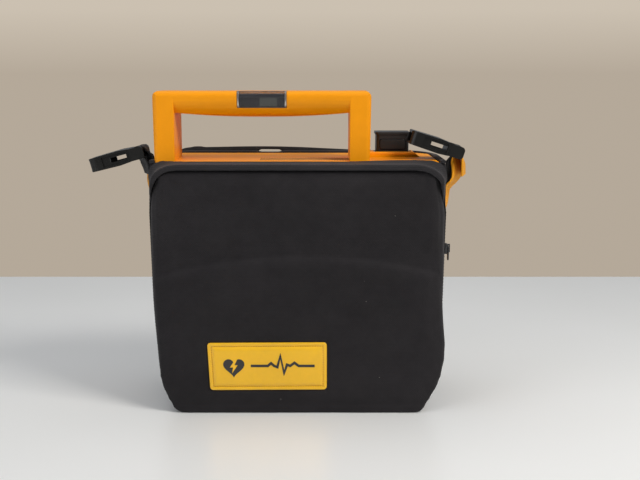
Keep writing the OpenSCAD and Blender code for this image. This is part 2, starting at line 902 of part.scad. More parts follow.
// Webbing that climbs one side, turns over the buckle's bar and comes back down to its seam.
// side is 1 for the right. lean holds the points between the side wall and the bar
module side_strap(side, bar, lean, tail) {
    wall_gap = strap_t / 2 + 0.15;
    over = [for (p = arc_points([0, 0], loop_r, -10, 180, 10)) [bar.x + side * p.x, bar.y + p.y]];
    path = concat([[side * (side_x(strap_low_z) + wall_gap), strap_low_z],
                   [side * (side_x(strap_leave_z) + wall_gap), strap_leave_z]],
                  lean, over, tail);
    color("gold") along_y(strap_y - webbing_w / 2, strap_y + webbing_w / 2)
        polygon(band(path, strap_t));
}

module side_strap_right() {
    side_strap(1, bar_right, [[142.6, 205], [150.4, 213], [156.6, 222], [158.6, 232], [157.2, 240]],
               [[149.2, 238], [148.2, 229]]);
}

module side_strap_left() {
    side_strap(-1, bar_left, [[-140.8, 210], [-144, 224], [-149.6, 236], [-152.4, 241.5]],
               [[-146, 239], [-145.2, 234]]);
}

module corner_tab(path) {
    color([0.14, 0.14, 0.15]) along_y(strap_y - webbing_w / 2 - 2, strap_y + webbing_w / 2 + 2)
        polygon(band(path, 1.8));
}

module corner_tab_right() {
    corner_tab([[139.9, 212], [140.4, 222], [142.6, 231], [145.6, 239]]);
}

module corner_tab_left() {
    corner_tab([[-139.5, 213], [-139.7, 222], [-140.6, 231], [-142.4, 239]]);
}

// Socket half of a side-release buckle. Its bar is at the origin along Y and its mouth faces +X
buckle_l = 49;
buckle_w = 36;
buckle_t = 14;
module buckle() {
    w = buckle_w / 2;
    t = buckle_t / 2;
    lug_r = 4.2;
    lug_t = 5.9;
    color("dimgray") difference() {
        union() {
            intersection() {
                along_y(-w, w)
                    polygon(rounded([[8.5, -t + 1], [20, -t], [buckle_l, -t + 0.6],
                                     [buckle_l, t - 0.6], [20, t], [8.5, t - 1]],
                                    [1.5, 3, 1.5, 1.5, 3, 1.5]));
                along_z(-t, t)
                    polygon(rounded(rect(8.5, buckle_l, -w, w), [3, 7, 7, 3]));
            }
            for (s = [-1, 1]) {
                intersection() {
                    block(-lug_r, 10, min(s * 13.8, s * w), max(s * 13.8, s * w), -lug_t, lug_t);
                    along_y(-w, w) polygon(rounded(rect(-lug_r, 12, -lug_t, lug_t), [3.5, 0, 0, 3.5]));
                }
            }
            rod_y(0, 0, bar_r, -14.5, 14.5);
        }
        block(13, buckle_l + 1, -14, 14, -4.2, 4.2);
        block(12.5, 28.5, -w - 1, w + 1, -2.2, 2.2);
        for (s = [-1, 1]) {
            block(12, 36, min(s * (w - 1.5), s * (w + 1)), max(s * (w - 1.5), s * (w + 1)), -4.6, 4.6);
        }
    }
}

module buckle_right() {
    translate([bar_right.x, strap_y, bar_right.y]) rotate([0, -180 + buckle_right_tilt, 0]) buckle();
}

module buckle_left() {
    translate([bar_left.x, strap_y, bar_left.y]) rotate([0, 180 + buckle_left_tilt, 0]) buckle();
}

// Webbing across the back of the soft case that bows up in its middle
module back_strap() {
    path = [[-127, 236], [-120, 239.4], [-108, 241.4], [-84, 242.2], [-54, 242.7], [-28, 242.6],
            [0, 241.8], [30, 240], [64, 237.8], [100, 236.2]];
    color([0.1, 0.1, 0.1]) along_y(bag_rear + 0.1, bag_rear + 2) polygon(band(path, 4.6));
}

// ---------------------------------------------------------------- one line for each node

front_case();
rear_case();
case_gasket();
case_screws();
rubber_feet();
control_panel();
display_window();
display_module();
keypad_membrane();
round_key(key_at[0], "green");  // on_off_button
round_key(key_at[1], "gold");  // analyse_button
round_key(key_at[2], "orangered");  // shock_button
small_key(small_key_at[0]);  // up_button
small_key(small_key_at[1]);  // down_button
speaker();
electrode_socket();
socket_contacts();
ui_board();
ribbon_cable();
main_board();
board_components();
high_voltage_board();
board_spacers();
board_screws();
energy_capacitor();
capacitor_bracket();
waveform_inductor();
charging_transformer();
transfer_relay();
power_heatsink();
battery_contacts();
battery_housing();
battery_cells();
battery_cap();
battery_latch();
readiness_window();
readiness_display();
readiness_flex();
soft_case_body();
front_top_band();
cover_hinge_strip();
front_cover();
cover_badge();
cover_pocket();
electrode_pouch();
zipper_tape_case();
zipper_tape_cover();
zipper_slider();
zipper_pull();
side_strap_left();
side_strap_right();
corner_tab_left();
corner_tab_right();
buckle_left();
buckle_right();
back_strap();
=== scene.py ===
"""Looks of a portable defibrillator in its soft carry case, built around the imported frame.

Objects are in metres and the front faces -Y.
"""
import json
import math

import bmesh
import bpy
import numpy as np
from mathutils import Euler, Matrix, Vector, noise


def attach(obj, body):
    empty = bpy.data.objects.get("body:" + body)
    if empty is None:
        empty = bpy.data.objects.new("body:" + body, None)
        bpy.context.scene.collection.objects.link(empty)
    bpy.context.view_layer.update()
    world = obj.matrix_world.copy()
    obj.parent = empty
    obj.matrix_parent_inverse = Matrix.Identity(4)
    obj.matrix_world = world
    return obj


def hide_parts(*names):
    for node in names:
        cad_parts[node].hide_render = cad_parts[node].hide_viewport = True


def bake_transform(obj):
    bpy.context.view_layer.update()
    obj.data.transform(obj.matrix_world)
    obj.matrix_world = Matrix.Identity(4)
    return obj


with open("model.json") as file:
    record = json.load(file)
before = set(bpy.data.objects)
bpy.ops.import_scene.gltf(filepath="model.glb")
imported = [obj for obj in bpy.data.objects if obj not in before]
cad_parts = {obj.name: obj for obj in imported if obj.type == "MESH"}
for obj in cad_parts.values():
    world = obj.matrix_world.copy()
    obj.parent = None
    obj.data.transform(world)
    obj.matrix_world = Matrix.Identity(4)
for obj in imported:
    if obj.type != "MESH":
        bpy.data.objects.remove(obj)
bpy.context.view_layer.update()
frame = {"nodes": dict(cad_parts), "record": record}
NODES = frame["nodes"]
BODY_OF = {n: body for body, members in frame["record"]["behaviour"]["bodies"].items() for n in members}
SLOT_OF = {s["node"]: s["material_slot"] for s in frame["record"]["subparts"]}
scene = bpy.context.scene
MM = 0.001
SIDES = ((-1, "left"), (1, "right"))
FLAP = "front_cover_flap"  # the body of the front cover


# ---- materials

class Shader:
    """A node material being put together. Coordinates are the row frame's, in metres."""

    def __init__(self, name, values):
        self.material = bpy.data.materials.new(name)
        self.material.use_nodes = True
        self.tree = self.material.node_tree
        self.surface = self.tree.nodes["Principled BSDF"]
        for socket, value in values.items():
            self.surface.inputs[socket].default_value = value
        self.at = self.add("TexCoord").outputs["Object"]

    def feed(self, socket, value):
        if isinstance(value, bpy.types.NodeSocket):
            self.tree.links.new(value, socket)
        else:
            socket.default_value = value

    def add(self, kind, inputs=None, **settings):
        node = self.tree.nodes.new("ShaderNode" + kind)
        for key, value in settings.items():
            setattr(node, key, value)
        for key, value in (inputs or {}).items():
            self.feed(node.inputs[key], value)
        return node

    def math(self, operation, a, b=0.0):
        return self.add("Math", {0: a, 1: b}, operation=operation).outputs[0]

    def span(self, value, low, high, to_low=0.0, to_high=1.0):
        return self.add("MapRange", {"Value": value, "From Min": low, "From Max": high,
                                     "To Min": to_low, "To Max": to_high}).outputs[0]

    def stretched(self, scale):
        return self.add("Mapping", {"Vector": self.at, "Scale": scale}).outputs[0]

    def noise(self, pitch, detail=2.0, at=None):
        """Smooth noise whose features are about pitch millimetres across."""
        return self.add("TexNoise", {"Vector": at or self.at, "Scale": 1 / (pitch * MM),
                                     "Detail": detail}).outputs["Fac"]

    def bands(self, pitch, direction, bend=0.0):
        """Soft ridges, pitch millimetres apart, across one direction."""
        settings = {"wave_type": "BANDS", "bands_direction": direction, "wave_profile": "SIN"}
        inputs = {"Vector": self.at, "Scale": 2 * math.pi / 20 / (pitch * MM),
                  "Distortion": bend, "Detail": 1.0, "Detail Scale": 1.5}
        return self.add("TexWave", inputs, **settings).outputs["Fac"]

    def cells(self, pitch, feature="F1"):
        return self.add("TexVoronoi", {"Vector": self.at, "Scale": 1 / (pitch * MM)}, feature=feature)

    def mix(self, factor, a, b):
        node = self.add("Mix", data_type="RGBA")
        for index, value in ((0, factor), (6, a), (7, b)):
            self.feed(node.inputs[index], value)
        return node.outputs[2]

    def pattern(self, kind, pitch):
        """Height from 0 to 1 of the surface's own fine structure."""
        if kind == "brush":
            return self.noise(1, 3, self.stretched((0.06 / pitch, 1 / pitch, 1 / pitch)))
        if kind == "bands":
            return self.bands(pitch, "Z", 0.6)
        if kind == "ribs":
            return self.bands(pitch, "X", 0.3)
        if kind == "knit":
            loops = self.math("MULTIPLY", self.bands(pitch, "Z", 0.9),
                              self.bands(pitch * 0.8, "DIAGONAL", 0.9))
            return self.math("ADD", loops, self.math("MULTIPLY", self.noise(pitch * 0.45), 0.6))
        if kind == "twill":
            threads = self.math("MULTIPLY", self.bands(pitch, "DIAGONAL", 0.4),
                                self.bands(pitch * 1.3, "Z", 0.4))
            return self.math("ADD", threads, self.math("MULTIPLY", self.noise(pitch * 0.3), 0.5))
        if kind == "traces":
            return self.span(self.cells(pitch, "DISTANCE_TO_EDGE").outputs["Distance"], 0.04, 0.07)
        return self.noise(pitch, 3)


def finish(slot, colour, rough, pattern, pitch, relief, tone, values=None, lint=0.0, scuff=0.0):
    """One procedural material: colour with patches, fine structure whose hollows are painted darker and raised parts
    lighter (painted shade and painted light), varied gloss, bump, lint or scuffs.
    """
    s = Shader(slot, values or {})
    height = s.pattern(pattern, pitch)
    patches = s.span(s.noise(70, 2), 0.3, 0.7, 1 - tone, 1 + tone)
    # painted shade in the fine structure's hollows and painted light on its raised parts
    painted_relief_shade = s.span(height, 0.2, 0.9, 1 - tone, 1 + 0.6 * tone)
    spots = s.span(s.noise(9, 4), 0.35, 0.65, 1 - 0.4 * tone, 1 + 0.4 * tone)
    value = s.math("MULTIPLY", s.math("MULTIPLY", patches, painted_relief_shade), spots)
    base = s.add("HueSaturation", {"Color": (*colour, 1), "Value": value}).outputs[0]
    gloss = s.span(s.noise(22, 5), 0.3, 0.7, rough - 0.07, rough + 0.07)
    if lint:
        cell = s.cells(13)
        chosen = s.math("GREATER_THAN", s.add("SeparateColor", {"Color": cell.outputs["Color"]}).outputs[0], 0.72)
        speck = s.math("MULTIPLY", s.span(cell.outputs["Distance"], 0.014, 0.03, 1, 0), chosen)
        dust = s.span(s.noise(45, 6), 0.5, 0.75, 0, 0.012)
        amount = s.math("MULTIPLY", s.math("ADD", s.math("MULTIPLY", speck, 0.8), dust), lint)
        base = s.mix(amount, base, (0.42, 0.39, 0.36, 1))
    if scuff:
        streak = s.span(s.noise(1, 4, s.stretched((160, 900, 260))), 0.66, 0.74)
        worn = s.math("MULTIPLY", streak, s.span(s.noise(35, 2), 0.5, 0.62, 0, scuff))
        base = s.mix(worn, base, tuple(min(1, c * 0.7 + 0.3) for c in colour) + (1,))
        gloss = s.math("ADD", gloss, s.math("MULTIPLY", worn, 0.3))
    s.feed(s.surface.inputs["Base Color"], base)
    s.feed(s.surface.inputs["Roughness"], gloss)
    if relief:
        bump = s.add("Bump", {"Height": height, "Strength": 0.8, "Distance": relief * MM})
        s.feed(s.surface.inputs["Normal"], bump.outputs[0])
    return s.material


METAL = {"Metallic": 1.0}
CLOTH = {"Sheen Weight": 0.13, "Sheen Roughness": 0.45, "Sheen Tint": (0.75, 0.72, 0.72, 1),
         "Specular IOR Level": 0.25}
YELLOW_CLOTH = {"Sheen Weight": 0.05, "Sheen Roughness": 0.5, "Sheen Tint": (1, 0.85, 0.5, 1),
                "Specular IOR Level": 0.3}
LACQUER = {"Coat Weight": 0.35, "Coat Roughness": 0.16}
GLASS = {"Transmission Weight": 1.0, "IOR": 1.46}
# slot: colour, roughness, pattern, its pitch, its relief, tone, and where it has them fixed values, lint, scuffs
FINISHES = {
    "case_plastic": ((0.86, 0.305, 0.0005), 0.46, "grain", 0.7, 0.05, 0.03, {"Specular IOR Level": 0.2}, 0, 0.06),
    "gasket_rubber": ((0.02, 0.02, 0.02), 0.8, "grain", 1, 0.05, 0.1),
    "screw_steel": ((0.56, 0.56, 0.55), 0.32, "brush", 1.5, 0.02, 0.1, METAL),
    "panel_plastic": ((0.045, 0.047, 0.05), 0.5, "grain", 0.8, 0.08, 0.06, None, 0, 0.1),
    "display_glass": ((0.62, 0.6, 0.63), 0.06, "grain", 20, 0, 0.02, GLASS),
    "lcd_module": ((0.11, 0.14, 0.11), 0.22, "bands", 1.1, 0, 0.05, LACQUER),
    "keypad_silicone": ((0.2, 0.2, 0.21), 0.7, "grain", 1.2, 0.03, 0.06),
    "key_green": ((0.03, 0.36, 0.1), 0.36, "grain", 0.9, 0.03, 0.04, None, 0, 0.05),
    "key_amber": ((0.85, 0.42, 0.02), 0.36, "grain", 0.9, 0.03, 0.04, None, 0, 0.05),
    "key_orange": ((0.86, 0.1, 0.015), 0.36, "grain", 0.9, 0.03, 0.04, None, 0, 0.05),
    "key_grey": ((0.3, 0.31, 0.32), 0.45, "grain", 0.9, 0.03, 0.05, None, 0, 0.05),
    "dark_plastic": ((0.013, 0.013, 0.0135), 0.44, "grain", 0.8, 0.07, 0.08, None, 0, 0.12),
    "latch_plastic": ((0.0105, 0.0092, 0.008), 0.38, "grain", 0.8, 0.05, 0.08, None, 0, 0.1),
    "contact_gold": ((0.82, 0.58, 0.22), 0.24, "brush", 1, 0.01, 0.06, METAL),
    "board_green": ((0.02, 0.16, 0.06), 0.35, "traces", 9, 0.04, 0.16, LACQUER),
    "ribbon": ((0.55, 0.55, 0.55), 0.5, "ribs", 1.3, 0.12, 0.12),
    "component_black": ((0.02, 0.02, 0.022), 0.5, "grain", 0.9, 0.03, 0.1),
    "capacitor_sleeve": ((0.03, 0.09, 0.3), 0.3, "grain", 6, 0.02, 0.05, LACQUER),
    "bracket_plastic": ((0.62, 0.6, 0.55), 0.5, "grain", 1, 0.03, 0.05),
    "copper_winding": ((0.72, 0.27, 0.1), 0.3, "ribs", 1.4, 0.4, 0.12, METAL),
    "transformer_core": ((0.5, 0.38, 0.08), 0.5, "bands", 3, 0.1, 0.1),
    "heatsink_aluminium": ((0.66, 0.67, 0.68), 0.38, "brush", 1.6, 0.02, 0.06, METAL),
    "battery_plastic": ((0.3, 0.3, 0.3), 0.5, "grain", 0.9, 0.05, 0.05, None, 0, 0.1),
    "cell_sleeve": ((0.05, 0.25, 0.2), 0.32, "grain", 5, 0.02, 0.05, LACQUER),
    "case_fabric": ((0.0135, 0.0118, 0.0133), 0.88, "knit", 1.3, 0.22, 0.15, CLOTH, 1.0),
    "edge_binding": ((0.0165, 0.0150, 0.0168), 0.74, "twill", 1.3, 0.22, 0.2, CLOTH, 0.4),
    "badge_vinyl": ((0.86, 0.47, 0.001), 0.34, "grain", 3.5, 0.05, 0.035,
                    {"Coat Weight": 0.5, "Coat Roughness": 0.1}, 0, 0.04),
    "pocket_net": ((0.03, 0.03, 0.032), 0.7, "twill", 0.5, 0.05, 0.15, CLOTH),
    "pouch_foil": ((0.62, 0.63, 0.65), 0.33, "grain", 5, 0.12, 0.05, {"Metallic": 0.55}),
    "zipper_tape": ((0.014, 0.014, 0.015), 0.8, "twill", 0.9, 0.14, 0.2, CLOTH, 0.3),
    "zipper_metal": ((0.05, 0.05, 0.052), 0.34, "grain", 1.6, 0.02, 0.1, {"Metallic": 0.7}, 0, 0.25),
    "yellow_webbing": ((0.82, 0.33, 0.004), 0.7, "twill", 1.1, 0.25, 0.12, YELLOW_CLOTH, 0.15),
    "black_webbing": ((0.014, 0.0135, 0.014), 0.74, "twill", 1.1, 0.25, 0.22, CLOTH, 0.4),
    "buckle_plastic": ((0.0075, 0.0070, 0.0060), 0.34, "grain", 0.9, 0.05, 0.08,
                       {"Specular IOR Level": 0.28}, 0, 0.22),
}
MATERIALS = {slot: finish(slot, *values) for slot, values in FINISHES.items()}
THREAD = finish("thread_grey", (0.062, 0.06, 0.068), 0.6, "twill", 0.5, 0.05, 0.1, CLOTH)
GOLD_THREAD = finish("thread_gold", (0.5, 0.22, 0.008), 0.6, "twill", 0.5, 0.05, 0.1, YELLOW_CLOTH)
PRINT = finish("printed_ink", (0.016, 0.015, 0.014), 0.3, "grain", 3, 0.01, 0.05, {"Coat Weight": 0.3})
PALE_PRINT = finish("pale_ink", (0.75, 0.76, 0.76), 0.4, "grain", 3, 0.01, 0.03)
# pale grey for the readiness window's ends: painted highlight standing for glints on the lens's edges
PAINTED_GLINT_EDGE = finish("painted_glint_edge", (0.62, 0.6, 0.58), 0.5, "grain", 0.8, 0.06, 0.15)
LCD_PATCH = finish("lcd_patch", (0.2, 0.23, 0.17), 0.2, "ribs", 0.9, 0, 0.04, LACQUER)

for name, node in NODES.items():
    node.data.materials.clear()
    node.data.materials.append(MATERIALS[SLOT_OF[name]])


# ---- building pieces

def piece(name, mesh, body, slot, stands_for=(), material=None, angle=38):
    """Makes the mesh a visible piece that rides on a body and takes its finish from a slot."""
    obj = bpy.data.objects.new(name, mesh)
    scene.collection.objects.link(obj)
    mesh.materials.clear()
    mesh.materials.append(material or MATERIALS[slot])
    mesh.shade_smooth()
    mesh.set_sharp_from_angle(angle=math.radians(angle))
    if stands_for:
        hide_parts(*stands_for)
    if body:
        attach(obj, body)
    return obj


def rows_of(k, rings, base=0, closed=False):
    """Faces between rings of k points each, the first of them starting at point base."""
    pairs = [(base + i * k, base + (i + 1) % rings * k) for i in range(rings if closed else rings - 1)]
    return [(a + q, a + (q + 1) % k, b + (q + 1) % k, b + q) for a, b in pairs for q in range(k)]


def tube(k, rings, base=0):
    """The same, with both ends capped."""
    end = base + (rings - 1) * k
    return rows_of(k, rings, base) + [tuple(range(base, base + k)), tuple(range(end, end + k))]


def mesh_of(points, faces):
    """A mesh from points in millimetres."""
    mesh = bpy.data.meshes.new("made")
    mesh.from_pydata((np.asarray(points, float) * MM).tolist(), [], faces)
    bm = bmesh.new()
    bm.from_mesh(mesh)
    bmesh.ops.recalc_face_normals(bm, faces=bm.faces[:])
    bm.to_mesh(mesh)
    bm.free()
    return mesh


def coords(mesh):
    """A mesh's points as an array, in millimetres."""
    co = np.empty(len(mesh.vertices) * 3, np.float32)
    mesh.vertices.foreach_get("co", co)
    return co.reshape(-1, 3).astype(float) / MM


def set_coords(mesh, co):
    mesh.vertices.foreach_set("co", (np.asarray(co) * MM).astype(np.float32).ravel())
    mesh.update()


def normals_of(mesh):
    out = np.empty(len(mesh.vertices) * 3, np.float32)
    mesh.vertices.foreach_get("normal", out)
    return out.reshape(-1, 3).astype(float)


def evaluated(obj):
    """The object's mesh with its modifiers applied."""
    graph = bpy.context.evaluated_depsgraph_get()
    return bpy.data.meshes.new_from_object(obj.evaluated_get(graph), depsgraph=graph)


def with_modifier(mesh, kind, **settings):
    """The mesh as one modifier leaves it."""
    obj = bpy.data.objects.new("work", mesh)
    scene.collection.objects.link(obj)
    modifier = obj.modifiers.new("m", kind)
    for key, value in settings.items():
        setattr(modifier, key, value)
    made = evaluated(obj)
    bpy.data.objects.remove(obj)
    return made


def bevelled(node, width, segments=2):
    """A copy of a CAD node with its edges rounded. width may be a function of an edge's ends, 0 to leave it sharp."""
    bm = bmesh.new()
    bm.from_mesh(NODES[node].data)
    bmesh.ops.remove_doubles(bm, verts=bm.verts[:], dist=2e-5)
    bmesh.ops.dissolve_limit(bm, angle_limit=math.radians(0.4), verts=bm.verts[:], edges=bm.edges[:])
    groups = {}
    for e in bm.edges:
        if len(e.link_faces) == 2 and e.calc_face_angle() > math.radians(30):
            w = width(e.verts[0].co / MM, e.verts[1].co / MM) if callable(width) else width
            if w:
                groups.setdefault(w, []).append(e)
    for w in sorted(groups, reverse=True):
        edges = [e for e in groups[w] if e.is_valid]
        bmesh.ops.bevel(bm, geom=edges, offset=w * MM, segments=segments, profile=0.5,
                        affect="EDGES", clamp_overlap=True)
    mesh = bpy.data.meshes.new(node)
    bm.to_mesh(mesh)
    bm.free()
    obj = piece(node + "_finished", mesh, BODY_OF[node], SLOT_OF[node], (node,))
    soft = obj.modifiers.new("even", "WEIGHTED_NORMAL")
    soft.keep_sharp = True
    return obj


def clamp(v):
    return np.clip(v, 0, 1)


def unit(v):
    return v / max(np.linalg.norm(v), 1e-9)


def smooth_path(points, step):
    """Points evenly spaced along a Catmull-Rom curve through the given ones."""
    p = np.asarray(points, float)
    p = np.vstack([2 * p[0] - p[1], p, 2 * p[-1] - p[-2]])
    dense = []
    for i in range(1, len(p) - 2):
        a, b, c, d = p[i - 1:i + 3]
        for t in np.linspace(0, 1, 24, endpoint=False):
            dense.append(0.5 * (2 * b + (c - a) * t + (2 * a - 5 * b + 4 * c - d) * t * t
                                + (3 * b - 3 * c + d - a) * t ** 3))
    dense.append(p[-2])
    return spaced(np.array(dense), step)


def spaced(points, step):
    """The same line with its points step apart, as near as fits."""
    p = np.asarray(points, float)
    s = np.concatenate([[0], np.cumsum(np.linalg.norm(np.diff(p, axis=0), axis=1))])
    n = max(2, int(round(s[-1] / step)) + 1)
    t = np.linspace(0, s[-1], n)
    return np.column_stack([np.interp(t, s, p[:, k]) for k in range(3)])


def sweep(line, across, section, closed=False):
    """Mesh of a section, as (along across, along normal) in mm, carried along a line.
    across is one direction or one for each point; section is a list of points or a function of the index."""
    line = np.asarray(line, float)
    m = len(line)
    ahead = np.roll(line, -1, 0) - np.roll(line, 1, 0)
    if not closed:
        ahead[0], ahead[-1] = line[1] - line[0], line[-1] - line[-2]
    across = np.broadcast_to(np.asarray(across, float), (m, 3))
    points = []
    for i in range(m):
        t = unit(ahead[i])
        u = unit(across[i] - t * (across[i] @ t))
        v = np.cross(t, u)
        ring = section(i) if callable(section) else section
        points += [line[i] + u * a + v * b for a, b in ring]
    k = len(ring)
    return mesh_of(points, rows_of(k, m, closed=True) if closed else tube(k, m))


def circle(radius, n=8):
    return [(radius * math.cos(2 * math.pi * i / n), radius * math.sin(2 * math.pi * i / n)) for i in range(n)]


def band(width, thick):
    w, t = width / 2, thick / 2
    return [(-w, t), (-w, -t), (w, -t), (w, t)]


def strap_section(width, thick, n=9):
    """A flat band with rounded selvedges that are a little thicker than its middle."""
    w, t = width / 2, thick / 2
    top = [(w * x, t * (0.86 + 0.14 * abs(x) ** 3)) for x in np.linspace(-0.96, 0.96, n)]
    return top + [(w, t * 0.4), (w, -t * 0.4)] + [(a, -b) for a, b in reversed(top)] + [(-w, -t * 0.4), (-w, t * 0.4)]


WEAVE_RIB = 0.13  # how much thicker and thinner than its mean the webbing is, rib by rib


def webbing(name, points, across, width, thick, body, slot, stands_for=(), step=0.55):
    """Woven webbing along a path, with its cross ribs in the mesh."""
    line = smooth_path(points, step)
    if callable(across):
        across = np.array([across(p) for p in line])
    flat = strap_section(width, thick)

    def ring(i):
        k = 1 + (WEAVE_RIB if i % 2 else -WEAVE_RIB)
        return [(a, b * k) for a, b in flat]
    return piece(name, sweep(line, across, ring), body, slot, stands_for, angle=60)


def stitches(name, line, out, body="case", slot="edge_binding", material=THREAD, pitch=3.0, length=2.0, radius=0.26):
    """A row of thread stitches that stand a little out of the fabric. out is one direction or one for each point."""
    marks = spaced(line, pitch)
    n = len(marks)
    source = np.asarray(line, float)
    out = np.broadcast_to(np.asarray(out, float), (len(source), 3))
    rings, sides = 5, 6
    points, faces = [], []
    for i in range(n):
        t = unit(marks[min(i + 1, n - 1)] - marks[max(i - 1, 0)])
        w = out[np.argmin(((source - marks[i]) ** 2).sum(1))]
        w = unit(w - t * (w @ t))
        u = np.cross(t, w)
        base = len(points)
        for r in range(rings):
            x = (r / (rings - 1) - 0.5) * length
            size = radius * (0.35, 0.9, 1, 0.9, 0.35)[r]
            lift = radius * (-0.7, 0.2, 0.45, 0.2, -0.7)[r]
            points += [marks[i] + t * x + w * (lift + size * math.sin(a)) + u * size * 1.25 * math.cos(a)
                       for a in (2 * math.pi * q / sides for q in range(sides))]
        faces += tube(sides, rings, base)
    return piece(name, mesh_of(points, faces), body, slot, material=material, angle=80)


def ring_arc(r, a0, a1, n=28):
    return [(r * math.cos(a), r * math.sin(a)) for a in np.radians(np.linspace(a0, a1, n + 1))]


def round_rect(at, size, r, inset=0.0, corner=6, edge=10):
    """Points round a rectangle with rounded corners, moved inwards by inset. Every inset has as many points."""
    hx, hz = size[0] / 2, size[1] / 2
    cr = max(r - inset, 0.01)
    arcs = []
    for k, (sx, sz) in enumerate(((1, -1), (1, 1), (-1, 1), (-1, -1))):
        cx, cz = at[0] + sx * (hx - max(r, inset)), at[1] + sz * (hz - max(r, inset))
        arcs.append([(cx + x, cz + z) for x, z in ring_arc(cr, 90 * k - 90, 90 * k, corner)])
    points = []
    for arc, after in zip(arcs, arcs[1:] + arcs[:1]):
        (ax, az), (bx, bz) = arc[-1], after[0]
        points += arc + [(ax + (bx - ax) * j / edge, az + (bz - az) * j / edge) for j in range(1, edge)]
    return points


def ringed(outline, profile, wave):
    """A closed pad facing the front: rings of outline(inset), each at its own depth y. wave moves points in y."""
    points = []
    for inset, y in profile:
        ring = outline(inset)
        points += [(x, y + wave(x, z, inset), z) for x, z in ring]
    return mesh_of(points, tube(len(ring), len(profile)))


def ripple(x, z, size, amount, seed=0.0):
    return amount * noise.noise(Vector((x / size, seed, z / size)))


def stroke(points, width):
    """A line drawn with a pen of that width: its two sides, from end to end."""
    p = np.asarray(points, float)
    d = np.diff(p, axis=0)
    d /= np.linalg.norm(d, axis=1)[:, None]
    side = np.column_stack([-d[:, 1], d[:, 0]])
    mitre = np.vstack([side[:1], side[:-1] + side[1:], side[-1:]])
    mitre /= np.linalg.norm(mitre, axis=1)[:, None]
    reach = np.concatenate([[1], 1 / np.maximum((mitre[1:-1] * side[1:]).sum(1), 0.4), [1]])
    mitre *= reach[:, None] * width / 2
    return ("band", *(p + mitre).tolist(), *(p - mitre)[::-1].tolist())


def stamped(name, shapes, y, depth, body, slot, material=None):
    """Flat raised shapes in X and Z, each an outline or a stroke, from depth y forwards."""
    points, faces = [], []
    for shape in shapes:
        drawn = shape[0] == "band"
        shape = shape[1:] if drawn else shape
        k, base = len(shape), len(points)
        points += [(x, y, z) for x, z in shape] + [(x, y - depth, z) for x, z in shape]
        for b in (base, base + k):
            faces += ([(b + i, b + i + 1, b + k - 2 - i, b + k - 1 - i) for i in range(k // 2 - 1)] if drawn
                      else [tuple(range(b, b + k))])
        faces += rows_of(k, 2, base)
    return piece(name, mesh_of(points, faces), body, slot, material=material, angle=30)


def moved(shapes, at, scale=1.0):
    return [tuple(p if p == "band" else (at[0] + p[0] * scale, at[1] + p[1] * scale) for p in shape)
            for shape in shapes]


def heart(size):
    t = np.linspace(0, 2 * math.pi, 60, endpoint=False)
    return [(size / 32 * 16 * math.sin(a) ** 3,
             size / 32 * (13 * math.cos(a) - 5 * math.cos(2 * a) - 2 * math.cos(3 * a) - math.cos(4 * a)))
            for a in t]


BOLT = [(1.2, 7.5), (-4.2, -0.9), (-0.7, -0.9), (-1.9, -7.5), (4.2, 1.6), (0.7, 1.6), (3.6, 7.5)]
PULSE = [(-30, 0), (-14, 0), (-11, 2.6), (-8, 0), (-5, -1.2), (-2.2, 9.5), (1.2, -7), (4, 1.2), (7, 0), (11, 3),
         (15, 0), (30, 0)]


CLOTH_FRAMES = 16


def soften(node, voxel, cap, held, smooth):
    """A padded copy of a soft CAD solid: remeshed, inflated a little by a cloth simulation, then subdivided.
    No point moves further than cap. held(points) marks the points that stay."""
    mesh = with_modifier(NODES[node].data.copy(), "REMESH", mode="VOXEL", voxel_size=voxel * MM)
    mesh = with_modifier(mesh, "SMOOTH", factor=0.5, iterations=smooth)
    start = coords(mesh)
    obj = bpy.data.objects.new("padding", mesh)
    scene.collection.objects.link(obj)
    group = obj.vertex_groups.new(name="held")
    group.add(np.nonzero(held(start))[0].tolist(), 1.0, "REPLACE")
    cloth = obj.modifiers.new("cloth", "CLOTH")
    cloth.settings.quality = 4
    cloth.settings.use_pressure = True
    cloth.settings.uniform_pressure_force = 4.0
    cloth.settings.effector_weights.gravity = 0
    cloth.settings.bending_stiffness = 2
    cloth.settings.vertex_group_mass = "held"
    cloth.point_cache.frame_start, cloth.point_cache.frame_end = 1, CLOTH_FRAMES
    for f in range(1, CLOTH_FRAMES + 1):
        scene.frame_set(f)
    blown = coords(evaluated(obj))
    scene.frame_set(1)
    bpy.data.objects.remove(obj)
    step = blown - start
    far = np.linalg.norm(step, axis=1)
    step *= (cap * np.tanh(far / cap) / np.maximum(far, 1e-6))[:, None]
    set_coords(mesh, start + step)
    return with_modifier(mesh, "SUBSURF", levels=1, render_levels=1)


# ---- camera, floor and light

camera = bpy.data.objects.new("camera", bpy.data.cameras.new("camera"))
scene.collection.objects.link(camera)
camera.data.lens, camera.data.sensor_width = 56.25, 36
camera.location = (0.021, -0.975, 0.318)
camera.rotation_euler = Euler((math.pi / 2 - 0.165, 0, 0))
scene.camera = camera
scene.view_settings.view_transform = "Standard"

TABLE_HALF, TABLE_EDGE = 3000, 580
floor = bpy.data.objects.new("floor", mesh_of(
    [(-TABLE_HALF, -TABLE_HALF, 0), (TABLE_HALF, -TABLE_HALF, 0), (TABLE_HALF, TABLE_EDGE, 0),
     (-TABLE_HALF, TABLE_EDGE, 0)], [(0, 1, 2, 3)]))
scene.collection.objects.link(floor)
top = Shader("floor", {"Coat Weight": 0.25, "Coat Roughness": 0.3})
top.feed(top.surface.inputs["Base Color"],
         top.mix(top.span(top.noise(320, 2), 0.2, 0.8), (0.80, 0.80, 0.78, 1), (0.84, 0.84, 0.83, 1)))
top.feed(top.surface.inputs["Roughness"], top.span(top.noise(400, 1), 0.2, 0.8, 0.27, 0.33))
floor.data.materials.append(top.material)

